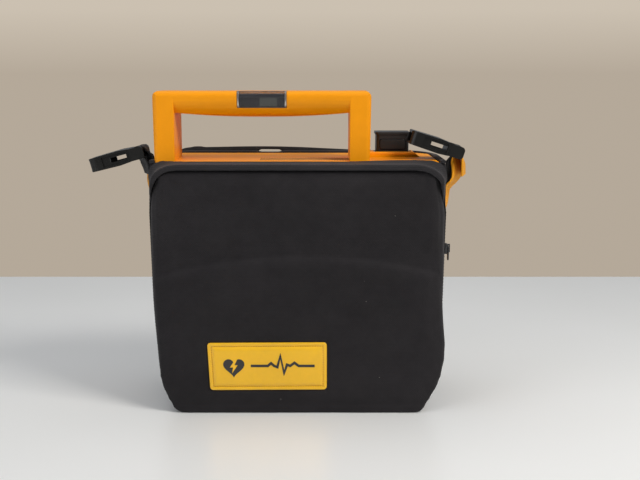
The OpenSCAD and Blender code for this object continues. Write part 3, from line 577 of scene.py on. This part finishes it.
world = bpy.data.worlds.new("room")
scene.world = world
world.use_nodes = True
tree = world.node_tree
room = tree.nodes["Background"]
room.inputs[0].default_value, room.inputs[1].default_value = (0.93, 0.96, 1.0, 1), 0.36
# Camera rays see a beige wall painted darker towards the table edge: painted shade on the backdrop
wall = tree.nodes.new("ShaderNodeBackground")
ray, seen = tree.nodes.new("ShaderNodeTexCoord"), tree.nodes.new("ShaderNodeLightPath")
split, ramp, either = (tree.nodes.new("ShaderNode" + kind) for kind in ("SeparateXYZ", "ValToRGB", "MixShader"))
for a, b in ((ray.outputs["Generated"], split.inputs[0]), (split.outputs[2], ramp.inputs[0]),
             (ramp.outputs[0], wall.inputs[0]), (seen.outputs["Is Camera Ray"], either.inputs[0]),
             (room.outputs[0], either.inputs[1]), (wall.outputs[0], either.inputs[2]),
             (either.outputs[0], tree.nodes["World Output"].inputs[0])):
    tree.links.new(a, b)
for stop, place, colour in zip(ramp.color_ramp.elements, (0, 0.06), ((0.46, 0.395, 0.32, 1), (0.60, 0.53, 0.44, 1))):
    stop.position, stop.color = place, colour


def lamp(name, place, aim, size, power, colour):
    light = bpy.data.objects.new(name, bpy.data.lights.new(name, "AREA"))
    light.data.size, light.data.energy, light.data.color = size, power, colour
    light.location = place
    light.rotation_euler = (Vector(aim) - Vector(place)).to_track_quat("-Z", "Y").to_euler()
    scene.collection.objects.link(light)


lamp("key", (0.9, -0.7, 1.25), (0, 0, 0.12), 0.55, 17, (1.0, 0.97, 0.93))
lamp("overhead", (-0.3, 0.1, 1.6), (0, 0, 0.1), 1.2, 5.5, (1.0, 0.98, 0.96))
lamp("fill", (-1.3, -1.1, 0.7), (0, 0, 0.15), 1.0, 8.0, (0.95, 0.97, 1.0))

# ---- moulded case, panel and keys

SPLIT_Y, TOP_Z, HANDLE_X = -4.0, 237.5, -33


def case_edges(a, b):
    """Width of the rounding on an edge of the case halves: more on the handle, a hair at the parting line."""
    if abs(a[1] - SPLIT_Y) < 0.01 and abs(b[1] - SPLIT_Y) < 0.01:
        return 0.4
    if min(a[2], b[2]) > TOP_Z + 1 and max(abs(a[0] - HANDLE_X), abs(b[0] - HANDLE_X)) > 25:
        return 1.5
    return 0.5 if min(a[2], b[2]) > TOP_Z - 0.5 or max(a[1], b[1]) < -40 else 0


for node in ("front_case", "rear_case"):
    bevelled(node, case_edges, 3)
for node, width in (("control_panel", 0.3), ("display_window", 0.4), ("on_off_button", 0.35),
                    ("analyse_button", 0.35), ("shock_button", 0.35), ("up_button", 0.5), ("down_button", 0.5),
                    ("electrode_socket", 0.4), ("speaker", 0.3), ("battery_cap", 0.45), ("battery_latch", 0.5),
                    ("zipper_slider", 0.35), ("zipper_pull", 0.25), ("buckle_left", 0.55), ("buckle_right", 0.55),
                    ("readiness_window", 0.4), ("energy_capacitor", 0.8), ("capacitor_bracket", 0.4),
                    ("battery_housing", 0.5), ("transfer_relay", 0.6), ("charging_transformer", 0.5),
                    ("power_heatsink", 0.3), ("board_components", 0.3), ("readiness_display", 0.3)):
    bevelled(node, width)

# Raised grip texture on the top, between the handle legs: staggered rows of small pads, coloured a darker brown as
# painted shade of the top ledge
PAD_FOOT, PAD_TOP = TOP_Z - 0.1, TOP_Z + 0.35
points, faces = [], []
for row in range(9):
    for col in range(34):
        x, y = 2.5 * col - 36 + (1.2 if row % 2 else 0), 3.0 * row - 35
        base = len(points)
        faces += rows_of(4, 2, base) + [tuple(range(base + 4, base + 8))]
        for inset, z in ((0, PAD_FOOT), (0.3, PAD_TOP)):
            points += [(x + inset, y + inset, z), (x + 1.7 - inset, y + inset, z),
                       (x + 1.7 - inset, y + 1.1 - inset, z), (x + inset, y + 1.1 - inset, z)]
# darker brown pads: painted shade of the top ledge between the handle legs
SHADED_GRIP_PADS = finish("painted_shade_grip", (0.34, 0.17, 0.045), 0.8, "grain", 1.2, 0.08, 0.3)
piece("top_grip_texture", mesh_of(points, faces), "case", "case_plastic", material=SHADED_GRIP_PADS)

# Readiness window: dark liner behind the glass, display patch, and pale ends that are painted highlights for the
# glints on the lens's side edges
WINDOW_X, WINDOW_HALF = -32.95, 21.2
LINER = finish("window_liner", (0.02, 0.016, 0.02), 0.35, "grain", 0.8, 0.03, 0.1)
liner = [(WINDOW_X + a, b, c) for a in (-WINDOW_HALF, WINDOW_HALF)
         for b, c in ((-38.4, 287.2), (-30.2, 287.2), (-30.2, 298.4), (-38.4, 296.4))]
piece("readiness_liner", mesh_of(liner, tube(4, 2)), "case", "lcd_module", material=LINER)
front = [(-39.0, 288.4, -7.5), (-39.0, 288.4, 8.5), (-38.6, 296.0, 8.5), (-38.6, 296.0, -7.5)]
patch = [(WINDOW_X + 5.5 + a, b + deep, c) for deep in (0, 0.5) for b, c, a in front]
piece("readiness_patch", mesh_of(patch, tube(4, 2)), "case", "lcd_module", material=LCD_PATCH)
for side, word in SIDES:
    x = WINDOW_X + side * 22.0
    line = [(x, -36, 287.6), (x, -40.6, 288.4), (x, -41.8, 292), (x, -41.5, 297), (x, -39, 300.2), (x, -33, 300.6)]
    piece(f"readiness_edge_{word}", sweep(smooth_path(line, 0.8), (1, 0, 0), circle(0.75, 6)), "case",
          "display_glass", material=PAINTED_GLINT_EDGE, angle=60)

# Symbols on the keys, the panel and the screen
FACE = -43.0
DISH, ROUND_DISH = FACE - 0.72, FACE - 0.78
keys = {"on_off": (-72, 118), "analyse": (0, 118), "shock": (72, 118)}
power = [stroke(ring_arc(6.2, 125, 415), 1.5), stroke([(0, 1.5), (0, 4.5), (0, 8.4)], 1.5)]
stamped("on_off_symbol", moved(power, keys["on_off"]), DISH, 0.2, "on_off_key", "key_grey", PALE_PRINT)
stamped("analyse_symbol", moved([heart(15)], keys["analyse"]), DISH, 0.2, "analyse_key", "key_grey", PALE_PRINT)
stamped("shock_symbol", moved([BOLT], keys["shock"], 1.15), DISH, 0.2, "shock_key", "key_grey", PALE_PRINT)
arrow = [(-3.4, -1.7), (0, 2.2), (3.4, -1.7)]
stamped("up_symbol", moved([arrow], (47, 199)), ROUND_DISH, 0.15, "up_key", "panel_plastic", PRINT)
stamped("down_symbol", moved([arrow], (47, 183), -1), ROUND_DISH, 0.15, "down_key", "panel_plastic", PRINT)
for name, (x, z) in keys.items():
    line = [(x + a, FACE + 0.1, z + b) for a, b in circle(21.6, 72)]
    piece(name + "_bezel", sweep(line, (0, 1, 0), [(a, b * 1.6) for a, b in circle(0.55)], closed=True),
          "case", "panel_plastic", material=PALE_PRINT if name == "on_off" else None)
numeral = {1: [(-1.8, 2.6), (0.4, 5), (0.4, 0), (0.4, -5)],
           2: [(-2.6, 2.6), (-1.8, 4.4), (0, 5), (1.9, 4.3), (2.5, 2.4), (1.6, 0.4), (-2.6, -4.6), (3, -4.6)],
           3: [(-2.4, 3.8), (0, 5), (2.3, 3.8), (2.2, 1.4), (0.3, 0.3), (2.4, -0.8), (2.6, -3.5), (0, -5),
               (-2.6, -3.9)]}
marks = []
for i, (x, z) in enumerate(keys.values()):
    ringed_number = [stroke(numeral[i + 1], 1.1), stroke(ring_arc(8, 0, 360, 48), 0.7)]
    marks += moved(ringed_number, (x, z - 32))
stamped("panel_numbers", marks, FACE + 0.25, 0.15, "case", "panel_plastic", PALE_PRINT)
stamped("screen_trace", moved([stroke(PULSE, 0.9)], (-14, 190), 1.15), -40.25, 0.1, "case", "lcd_module", PRINT)

# ---- outline of the soft case

# Height, and how far the cover reaches left and right of the middle there
PROFILE = np.array([
    (0, 107, 111), (5, 118.5, 120.4), (15, 124.5, 127), (25, 128.6, 132.4), (35, 130.9, 136), (50, 132.2, 139.4),
    (65, 133.1, 139.9), (85, 134.6, 138.2), (108, 135.7, 136.6), (151, 136.6, 137.6), (189, 137.3, 138),
    (208, 136.6, 135.4), (214, 134.9, 134.0), (221, 131.6, 132.2), (225, 128.8, 128.6), (229, 123.5, 122.5),
    (231, 118, 116.5), (232, 110, 109)])
COVER_TOP, SEAM_Y, BAG_TOP = 232.0, -44.6, 237.8
CORNER_DEPTH = 26  # behind the seam, the cover's outline has turned into the body's here
levels = np.arange(0, COVER_TOP + 0.5, 0.5)
kernel = np.hanning(9) / np.hanning(9).sum()


def even(column):
    raw = np.interp(levels, PROFILE[:, 0], PROFILE[:, column])
    rounded = np.convolve(np.pad(raw, 4, mode="edge"), kernel, mode="valid")
    return np.where((levels < 3) | (levels > 228), raw, rounded)


HALF = {-1: even(1), 1: even(2)}


def cad_half(node, y_low, y_high):
    """Half-width of a CAD node at each height, from its edges between two depths."""
    data = NODES[node].data
    co = coords(data)
    best = np.zeros(len(levels))
    for edge in data.edges:
        a, b = co[edge.vertices[0]], co[edge.vertices[1]]
        if y_low < min(a[1], b[1]) and max(a[1], b[1]) < y_high and abs(a[2] - b[2]) > 1e-4:
            t = (levels - a[2]) / (b[2] - a[2])
            x = np.where((t > -1e-3) & (t < 1.001), np.abs(a[0] + (b[0] - a[0]) * t), 0)
            best = np.maximum(best, x)
    known = best > 0
    return np.interp(levels, levels[known], best[known])


CAD_COVER = cad_half("front_cover", -45.5, -45.3)
CAD_BAG = cad_half("soft_case_body", -44.7, -44.5)
# Beside the zip the fabric stays inside the slider's straight run
SEAM_HALF = {side: np.where(levels < 190, np.minimum(HALF[side], CAD_COVER), HALF[side]) for side in (-1, 1)}


def side_x(z, side, y=SEAM_Y):
    """How far out the fabric is at height z and depth y, as a signed X."""
    near = np.interp(z, levels, SEAM_HALF[side])
    far = np.interp(z, levels, CAD_BAG)
    t = clamp((np.asarray(y) - SEAM_Y) / CORNER_DEPTH)
    return side * (near * (1 - t) + np.maximum(far, near) * t)


def fold_to_outline(co, cad, fade=False):
    """Moves a copied solid's points sideways so that its outline follows PROFILE."""
    for side in (-1, 1):
        part = (co[:, 0] * side) > 0
        z = np.clip(co[part, 2], 0, COVER_TOP)
        by_seam = clamp((co[part, 1] - SEAM_Y + 13) / 8)
        free, held = (np.interp(z, levels, table[side]) for table in (HALF, SEAM_HALF))
        ratio = (free + (held - free) * by_seam) / np.interp(z, levels, cad)
        if fade:
            t = clamp((co[part, 1] - SEAM_Y) / CORNER_DEPTH)
            outer = clamp((np.abs(co[part, 0]) - 129) / 4)
            outer *= clamp((222 - co[part, 2]) / 20)
            ratio = 1 + (ratio - 1) * (1 - t) * outer
        co[part, 0] *= ratio
    return co


# ---- front cover

BADGE, BADGE_SIZE, BADGE_BACK = (-28.8, 46.0), (112.5, 46.0), -64.95  # middle, size and rear face


def cover_edges(co):
    """The cover's rim and the line of its front seam keep their place."""
    return (co[:, 1] > -48) | (co[:, 2] < 4)


mesh = soften("front_cover", 3.1, 1.3, cover_edges, 3)
co, out = coords(mesh), normals_of(mesh)
co = fold_to_outline(co, CAD_COVER)
x, y, z = co.T
front = clamp((-61.2 - y) / 1.2) * clamp(-out[:, 1] * 2)
ridge = 149.5 - 16.5 * ((x - 7) / 127) ** 2
step = 1 / (1 + np.exp(-(z - ridge) / 0.9))
side_fade = clamp((136 - np.abs(x)) / 18)
above = 0.8 + 1.9 * np.abs((z - 187) / 38) ** 1.35
below = 1.3 * np.exp(-((z - ridge + 7) / 9) ** 2) + 0.5 * np.cos(np.clip((z - 75) / 80, -1, 1) * math.pi / 2)
old = 1.8 * clamp((z - 136) / 16)
shift = step * np.minimum(above, 2.5) * side_fade - (1 - step) * below * side_fade - old
y += front * np.where(z < 224, shift, shift * clamp((COVER_TOP - z) / 8))
creases = [noise.noise(Vector((a / 55, b / 34, 3.1))) * 0.45 + noise.noise(Vector((a / 19, b / 13, 8.2))) * 0.10
           for a, b in zip(x, z)]
y += np.array(creases) * front
behind_badge = (clamp((59 - np.abs(x - BADGE[0])) / 3) * clamp((26 - np.abs(z - BADGE[1])) / 3)
                * (front > 0))
y += behind_badge * np.maximum(BADGE_BACK - y, 0)
low = clamp((9 - z) / 9) * clamp((-56 - y) / 4)
y -= 3.2 * low
z = np.maximum(z - 2.6 * low, 0.25)
set_coords(mesh, np.column_stack([x, y, z]))
piece("front_cover_shell", mesh, FLAP, "case_fabric", ("front_cover",), angle=80)

# ---- body of the soft case

def body_edges(co):
    return (co[:, 1] < SEAM_Y + 3) | (co[:, 2] > BAG_TOP - 3) | (co[:, 2] < 7)


mesh = soften("soft_case_body", 4.2, 1.6, body_edges, 2)
co, out = coords(mesh), normals_of(mesh)
co = fold_to_outline(co, CAD_BAG, fade=True)
lean = np.array([noise.noise(Vector(p / 46)) for p in co]) * 0.55
outside = clamp((np.maximum(np.abs(co[:, 0]) - 128, co[:, 1] - 59)) / 4)
co += out * (lean * outside)[:, None]
co[:, 2] = np.maximum(co[:, 2], 0)
set_coords(mesh, co)
piece("soft_case_shell", mesh, "case", "case_fabric", ("soft_case_body",), angle=80)


def outline(offset, z_low, y, step=2.0):
    """Line up the left side of the cover, over its top and down the right, offset outwards."""
    up = [z for z in levels if z >= z_low]
    left = [(-SEAM_HALF[-1][int(2 * z)], z) for z in up]
    right = [(SEAM_HALF[1][int(2 * z)], z) for z in reversed(up)]
    line = spaced([(a, y, b) for a, b in left + right], step)
    ahead = np.gradient(line, axis=0)
    normal = np.array([unit(np.array((-d[2], 0, d[0]))) for d in ahead])
    return line + normal * offset, normal


# Gusset round the cover's top corners and across its top. Its rear edge flares out to the body's own corner
# and both ends narrow into the side seams
GUSSET_STEP, GUSSET_DEPTH = 1.5, 19.2
line, normal = outline(0, 196, SEAM_Y, GUSSET_STEP)
lift = np.interp(line[:, 2], (203, 213, 224), (-1.2, 0.0, 2.6))
line = line + normal * lift[:, None]
count = len(line)
CORNER_X, CORNER_Z = 138.6, 237.2


def flare(p, n):
    """How far the fabric's rear edge stands out of the line p, along n."""
    high = CORNER_Z + 1.3 * clamp((p[0] - 50) / 40) * clamp((128 - p[0]) / 15)
    reach = [(CORNER_X - abs(p[0])) / max(abs(n[0]), 0.05), (high - p[2]) / max(n[2], 0.05)]
    return float(np.clip(min(reach), 0.6, 9.0))


flares = np.convolve(np.pad([flare(p, n) for p, n in zip(line, normal)], 3, mode="edge"), np.ones(7) / 7, "valid")


def gusset(i):
    ends = min(i, count - 1 - i) * GUSSET_STEP
    reach = GUSSET_DEPTH * min(1.0, 0.25 + ends / 30) ** 0.8
    thick = 0.5 + 0.8 * min(1.0, ends / 26)
    outer = [(0.2 - (reach - 1) * t, thick + (flares[i] - thick) * (1 - t) ** 2.4) for t in np.linspace(0, 1, 9)]
    return [(0.2, -1.1)] + outer + [(-reach - 0.1, thick - 0.5), (-reach - 0.4, 0),
                                    (-reach - 0.4, -lift[i] - 1.0), (-reach + 0.2, -lift[i] - 1.5),
                                    (-reach + 1.4, -lift[i] - 0.25), (-4, -lift[i] - 0.25)]


piece("gusset_binding", sweep(line, (0, 1, 0), gusset), "case", "edge_binding", ("front_top_band",), angle=50)
keep = range(25, count - 25)
stitches("gusset_stitches", line[keep] + (0, -GUSSET_DEPTH, 0.15), (0, -1, 0.1))
stitches("gusset_top_stitches", line[keep] + normal[keep] * 1.25 + (0, -15.8, 0), normal[keep])

# Zip: tapes and coil teeth on both sides of the opening
for name, body, y, sign, node in (("case", "case", SEAM_Y + 0.1, 1, "zipper_tape_case"),
                                  ("cover", FLAP, SEAM_Y - 1.0, -1, "zipper_tape_cover")):
    for side, word in SIDES:
        z = np.arange(40, 216, 2.0)
        line = np.column_stack([side_x(z, side) + side * 0.45, np.full(len(z), y + sign * 3.3), z])
        piece(f"zip_tape_{name}_{word}", sweep(line, (0, 1, 0), band(6.6, 0.5)), body, "zipper_tape",
              (node,) if side > 0 else ())
        stitches(f"zip_seam_{name}_{word}", line + (side * 0.3, sign * 2.2, 0), (side, 0, 0), body,
                 "zipper_tape", THREAD, radius=0.22)
    line, normal = outline(0.1, 42, y + sign * 0.25, 1.55)
    points, faces = [], []
    for p, n in zip(line, normal):
        t = np.cross(n, (0, 1, 0))
        faces += tube(6, 4, len(points))
        for k, r in ((-1, 0.35), (-0.4, 0.62), (0.4, 0.62), (1, 0.35)):
            points += [p + (0, 0.85 * k, 0) + t * (0.8 * c) + n * (0.35 + s) for c, s in circle(r, 6)]
    piece(f"zip_teeth_{name}", mesh_of(points, faces), body, "zipper_tape", angle=60)

# Piping along the cover's and the body's rims below the zip
for name, body, y in (("cover", FLAP, SEAM_Y - 3.6), ("body", "case", SEAM_Y + 2.8)):
    for side, word in SIDES:
        z = np.linspace(6, 42, 30)
        line = np.column_stack([side_x(z, side), np.full(30, y), z])
        piece(f"{name}_piping_{word}", sweep(line, (0, 1, 0), circle(1.0)), body, "edge_binding", angle=60)

# Flap behind the zip and the seam under it, on the body's side
for side, word in SIDES:
    z = np.concatenate([np.linspace(1.2, 44, 24), np.arange(48, 204, 5.0)])
    line = np.column_stack([side_x(z, side) - side * 1.1, np.full(len(z), SEAM_Y - 0.4), z])
    piece(f"seam_flap_{word}", sweep(line, (0, 1, 0), band(5.6, 0.6)), "case", "edge_binding")

# Piping round the back panel, down the left side, under the base and up the right, and its stitches
REAR_SEAM_Y = 27.0
z = np.arange(24, 232, 3.0)
left, right = ([(side_x(q, side, REAR_SEAM_Y) + side * 0.1, q) for q in z] for side, _ in SIDES)
half_base = [(60, 0.9), (104, 1.1), (113.5, 3.4), (121, 12)]
base = [(-a, b) for a, b in reversed(half_base)] + [(0, 0.9)] + half_base
line = smooth_path([(a, REAR_SEAM_Y, b) for a, b in left[::-1] + base + right], 3.0)
piece("rear_seam_piping", sweep(line, (0, 1, 0), circle(1.1)), "case", "edge_binding", angle=60)
inner = np.array([(p[0] * 0.999, p[1] - 4, p[2]) for p in line if p[2] > 20])
for side, word in SIDES:
    part = inner[inner[:, 0] * side > 0]
    stitches(f"rear_seam_stitches_{word}", part + (side * 0.15, 0, 0), (side, 0, 0))

# Binding on the open top edge of the body
REAR_CORNER, SLIT_X = (103, 29), -30.5  # where a rear corner's rounding turns; the middle of the back strap's slit
corner = [(REAR_CORNER[0] + 33.2 * math.sin(a), REAR_CORNER[1] + 33.2 * math.cos(a))
          for a in np.linspace(math.pi / 2, 0, 12)]
rim = [(136.4, y) for y in np.linspace(-43, 26, 24)] + corner + [(x, 62.4) for x in np.linspace(98, 0, 30)]
rim = rim + [(-x, y) for x, y in reversed(rim[:-1])]
line = spaced([(x, y, BAG_TOP - 1.1) for x, y in rim], 2.0)
line[:, 2] += 1.3 * clamp((line[:, 1] - 40) / 20) * clamp((np.abs(line[:, 0] - SLIT_X) - 9) / 6)
section = [(1.5, 2.75), (-0.6, 2.85), (-1.35, 2.2), (-1.6, 0), (-1.35, -2.0), (-0.6, -2.35), (1.5, -2.3)]
piece("rim_binding", sweep(line, (0, 0, -1), section), "case", "edge_binding", angle=50)

# The folded floor of the cover's hinge
cols, rows, FOLD_FRONT = 60, 10, -57.5
xs, ys = np.linspace(-104, 104, cols), np.linspace(FOLD_FRONT, SEAM_Y, rows)
points = [(a, b, 0.75 + 0.35 * math.sin((b - FOLD_FRONT) * 0.49) + ripple(a, b, 14, 0.25)) for b in ys for a in xs]
faces = [(k, k + 1, k + cols + 1, k + cols) for j in range(rows - 1) for k in range(j * cols, j * cols + cols - 1)]
mesh = with_modifier(mesh_of(points, faces), "SOLIDIFY", thickness=1.0 * MM, offset=0.0)
hinge = piece("hinge_fold", mesh, None, "case_fabric", ("cover_hinge_strip",))
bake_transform(hinge)

# ---- badge on the cover

profile = [(0.5, -64.2), (0, -64.9), (0, -65.6), (0.15, -66.05), (0.55, -66.35), (1.1, -66.45), (2.6, -66.4),
           (3.1, -66.2), (3.5, -65.9), (3.9, -65.95), (4.3, -66.3), (5.0, -66.75), (5.9, -67.1), (7.2, -67.3),
           (9, -67.4), (12, -67.45), (16, -67.5), (20, -67.5)]


def badge_ring(inset):
    """The badge's outline, which leans a little and is narrower at its lower left."""
    ring = round_rect(BADGE, BADGE_SIZE, 3.2, inset, 6, 16)
    top = BADGE[1] + BADGE_SIZE[1] / 2
    return [(x + (2.4 * (top - z) / BADGE_SIZE[1] if x < BADGE[0] else 0), z + 0.55 * (x - BADGE[0]) / 100)
            for x, z in ring]


badge = piece("cover_badge_vinyl",
              ringed(badge_ring, profile, lambda x, z, d: ripple(x, z, 17, 0.22 if d > 0.6 else 0, 5.0)),
              FLAP, "badge_vinyl", ("cover_badge",), angle=50)
ring = badge_ring(3.55)
line = [(x, -66.0, z) for x, z in ring + ring[:1]]
stitches("badge_stitches", line, (0, -1, 0), FLAP, "badge_vinyl", GOLD_THREAD, 2.3, 1.6, 0.24)
PRINT_Y = -67.35
stamped("badge_symbol", moved([heart(20)], (-60, 46)), PRINT_Y, 0.42, FLAP, "badge_vinyl", PRINT)
stamped("badge_bolt", moved([BOLT], (-60, 46.3), 0.86), PRINT_Y, 0.55, FLAP, "badge_vinyl")
stamped("badge_trace", moved([stroke(PULSE, 2.4)], (-14, 47), 1.0), PRINT_Y, 0.42, FLAP,
        "badge_vinyl", PRINT)

# ---- inside the cover: net pocket and electrode pouch

pouch = [(2.5, -57.6), (0, -57.4), (0, -56.4), (1, -56.1), (3, -56.25), (6, -56.1), (8.5, -56.2), (10, -55.6),
         (12, -54.6), (15, -53.7), (20, -53.15), (28, -52.95), (40, -52.9), (60, -52.9)]
mesh = ringed(lambda d: round_rect((0, 100), (190, 140), 5, d, 6, 30), pouch,
              lambda x, z, d: (0.12 * math.sin(z * 2.4) if 1 < d < 9 else ripple(x, z, 13, 0.5, 2.0) if d > 9 else 0))
piece("electrode_pouch_foil", mesh, FLAP, "pouch_foil", ("electrode_pouch",), angle=60)
pads = [round_rect(at, (42, 56), 12, 0, 6, 4) for at in ((-38, 112), (38, 96))]
outlines = [stroke(p + p[:1], 1.2) for p in pads]
stamped("pouch_pad_outlines", outlines, -52.7, 0.45, FLAP, "pouch_foil", PRINT)

# The net bulges out of the plane of its tape by POCKET_RISE
POCKET_X, POCKET_LOW, POCKET_HIGH, POCKET_Y, POCKET_RISE = 106.0, 26.0, 150.0, -60.2, 8.6
cols, rows = 66, 39
points = []
for j in range(rows + 1):
    for i in range(cols + 1):
        x, z = (i / cols * 2 - 1) * POCKET_X, (POCKET_HIGH - POCKET_LOW) * j / rows
        rise = (1 - math.exp(-(POCKET_X - abs(x)) / 5)) * (1 - math.exp(-z / 4))
        points.append((x, POCKET_Y + (POCKET_RISE + ripple(x + POCKET_X, z, 26, 0.25)) * rise, POCKET_LOW + z))
faces = []
for j in range(rows):
    for i in range(cols):
        a = j * (cols + 1) + i
        b, c, d = a + 1, a + cols + 2, a + cols + 1
        faces += [(a, b, c), (a, c, d)] if (i + j) % 2 else [(a, b, d), (b, c, d)]
net = with_modifier(mesh_of(points, faces), "WIREFRAME", thickness=0.55 * MM, use_even_offset=False)
net = piece("pocket_net_mesh", net, FLAP, "pocket_net", ("cover_pocket",), angle=80)
hem = [(x, -51.5 - POCKET_RISE * math.exp(-(POCKET_X - abs(x)) / 5), POCKET_HIGH)
       for x in np.linspace(-POCKET_X, POCKET_X, 90)]
hem = webbing("pocket_hem", hem, (0, 0, 1), 9, 1.3, FLAP, "edge_binding", step=0.9)
edge = [(x, -59.3, z) for x, z in ((-POCKET_X, POCKET_HIGH), (-POCKET_X, POCKET_LOW + 6), (-POCKET_X + 6, POCKET_LOW),
                                   (POCKET_X - 6, POCKET_LOW), (POCKET_X, POCKET_LOW + 6), (POCKET_X, POCKET_HIGH))]
tape = piece("pocket_tape", sweep(spaced(edge, 3), (0, 1, 0), band(1.0, 6.8)), FLAP, "edge_binding", angle=30)

# ---- webbing

WEB, WEB_T, STRAP_Y = 25.0, 1.6, -16.0  # the webbing's width and thickness, and the depth of its middle


def turned(angles):
    """Direction of a strap's width, turned about its run by an angle given for each height."""
    heights, turns = zip(*angles)

    def across(p):
        a = math.radians(np.interp(p[2], heights, turns))
        return np.array((math.sin(a), math.cos(a), 0))
    return across


def over_bar(bar, r, start, end):
    return [(bar[0] + x, bar[1] + z) for x, z in ring_arc(r, start, end, 9)]


def strap(name, path, turns, width, thick, slot, node):
    """A strap beside the case along a path of X and Z."""
    across = turns if callable(turns) else turned(turns)
    webbing(name, [(x, STRAP_Y, z) for x, z in path], across, width, thick, "case", slot, (node,))


def wall_run(side, heights):
    """Where webbing lies against the case's side."""
    return [(side_x(q, side, STRAP_Y) + side * 1.1, q) for q in heights]


BAR_RIGHT, BAR_LEFT = (152.6, 244.2), (-149.3, 244.3)
path = wall_run(1, (60, 100, 140, 176, 186))
path += [(141.2, 190), (142.1, 195), (142.6, 204), (143.0, 208), (145.2, 211.5), (149.2, 216), (151.8, 220.5),
         (152.6, 227), (151.4, 235), (149.3, 241)]
path += over_bar(BAR_RIGHT, 3.3, 180, 10) + [(156.9, 239), (158.6, 231), (158.8, 221.5)]
loop_turn = turned([(186, 2), (190, 14), (208, 20.6), (212, 26), (227, 29), (237, 29), (244, 2)])
end_turn = turned([(221, 15), (232, 14), (243, 2)])
strap("strap_right_webbing", path, lambda p: (end_turn if p[0] > 153.5 and p[2] > 220 else loop_turn)(p),
      WEB, WEB_T, "yellow_webbing", "side_strap_right")
path = wall_run(-1, (60, 100, 140, 180, 196))
path += [(-141.2, 204), (-142.6, 209), (-143.4, 215), (-143.4, 221), (-143.2, 227)]
strap("strap_left_webbing", path, [(196, 0), (206, -12), (215, -15), (225, -15)], WEB, WEB_T, "yellow_webbing",
      "side_strap_left")
for side, word in reversed(SIDES):
    for y, place in ((STRAP_Y - 10, "front"), (STRAP_Y + 10, "back")):
        run = [(side_x(q, side, STRAP_Y) + side * 2.1, y, q) for q in np.arange(66, 178, 3.0)]
        stitches(f"strap_stitches_{word}_{place}", run, (side, 0, 0), "case", "yellow_webbing", GOLD_THREAD,
                 3.2, 2.2, 0.3)

tab_right = [(138.6, 200), (139.6, 207), (141.8, 214), (144.2, 221), (146.0, 229), (146.6, 236), (147.2, 242)]
tab_left = [(-144.9, 223), (-145.2, 226), (-146.0, 230), (-148.4, 236), (-152.6, 240.5)]
tab_left_end = [(-143.0, 241.5), (-141.8, 236), (-141.0, 230), (-140.4, 222), (-139.3, 212)]
for word, path, wrap, twist in (
        ("right", tab_right, over_bar(BAR_RIGHT, 5.2, 180, 50), [(200, 4), (210, 22), (222, 31), (236, 24), (243, 2)]),
        ("left", tab_left, over_bar(BAR_LEFT, 5.2, 205, 20) + tab_left_end,
         [(212, -4), (219, -15), (228, -22), (237, -27), (241, -26), (246, -4)])):
    strap(f"corner_tab_{word}_webbing", path + wrap, twist, WEB + 2, 1.8, "black_webbing", f"corner_tab_{word}")

# Strap across the back: its lower edge arches up to leave a slit in the middle
REAR_RADIUS = 37.0
heights = [(-130, 234.6), (-122, 238.2), (-116, 239.8), (-106, 240.0), (-84, 240.4), (-54, 240.9), (-28, 240.9),
           (0, 240.2), (30, 238.8), (64, 237.2), (96, 236)]
path = smooth_path([(a, REAR_CORNER[1] + math.sqrt(REAR_RADIUS ** 2 - max(0.0, abs(a) - REAR_CORNER[0]) ** 2), b)
                    for a, b in heights], 0.7)
slit = clamp((np.abs(path[:, 0] - SLIT_X) - 9) / 5)
knot = np.exp(-((path[:, 0] + 106) / 6) ** 4)
high, deep = 2.5 + 0.9 * knot, np.where(slit < 1, 0.6 + 3.4 * slit ** 1.5, 4.0)


def back_section(i):
    k = 1.08 if i % 2 else 0.92
    return [(high[i], 0.35), (high[i], -0.35), (high[i] - 0.5, -0.9 * k), (-deep[i] + 0.4, -0.9 * k),
            (-deep[i], -0.4), (-deep[i], 0.4), (-deep[i] + 0.4, 0.9 * k), (high[i] - 0.5, 0.9 * k)]


piece("back_strap_webbing", sweep(path, (0, 0, 1), back_section), "case", "black_webbing", ("back_strap",), angle=60)
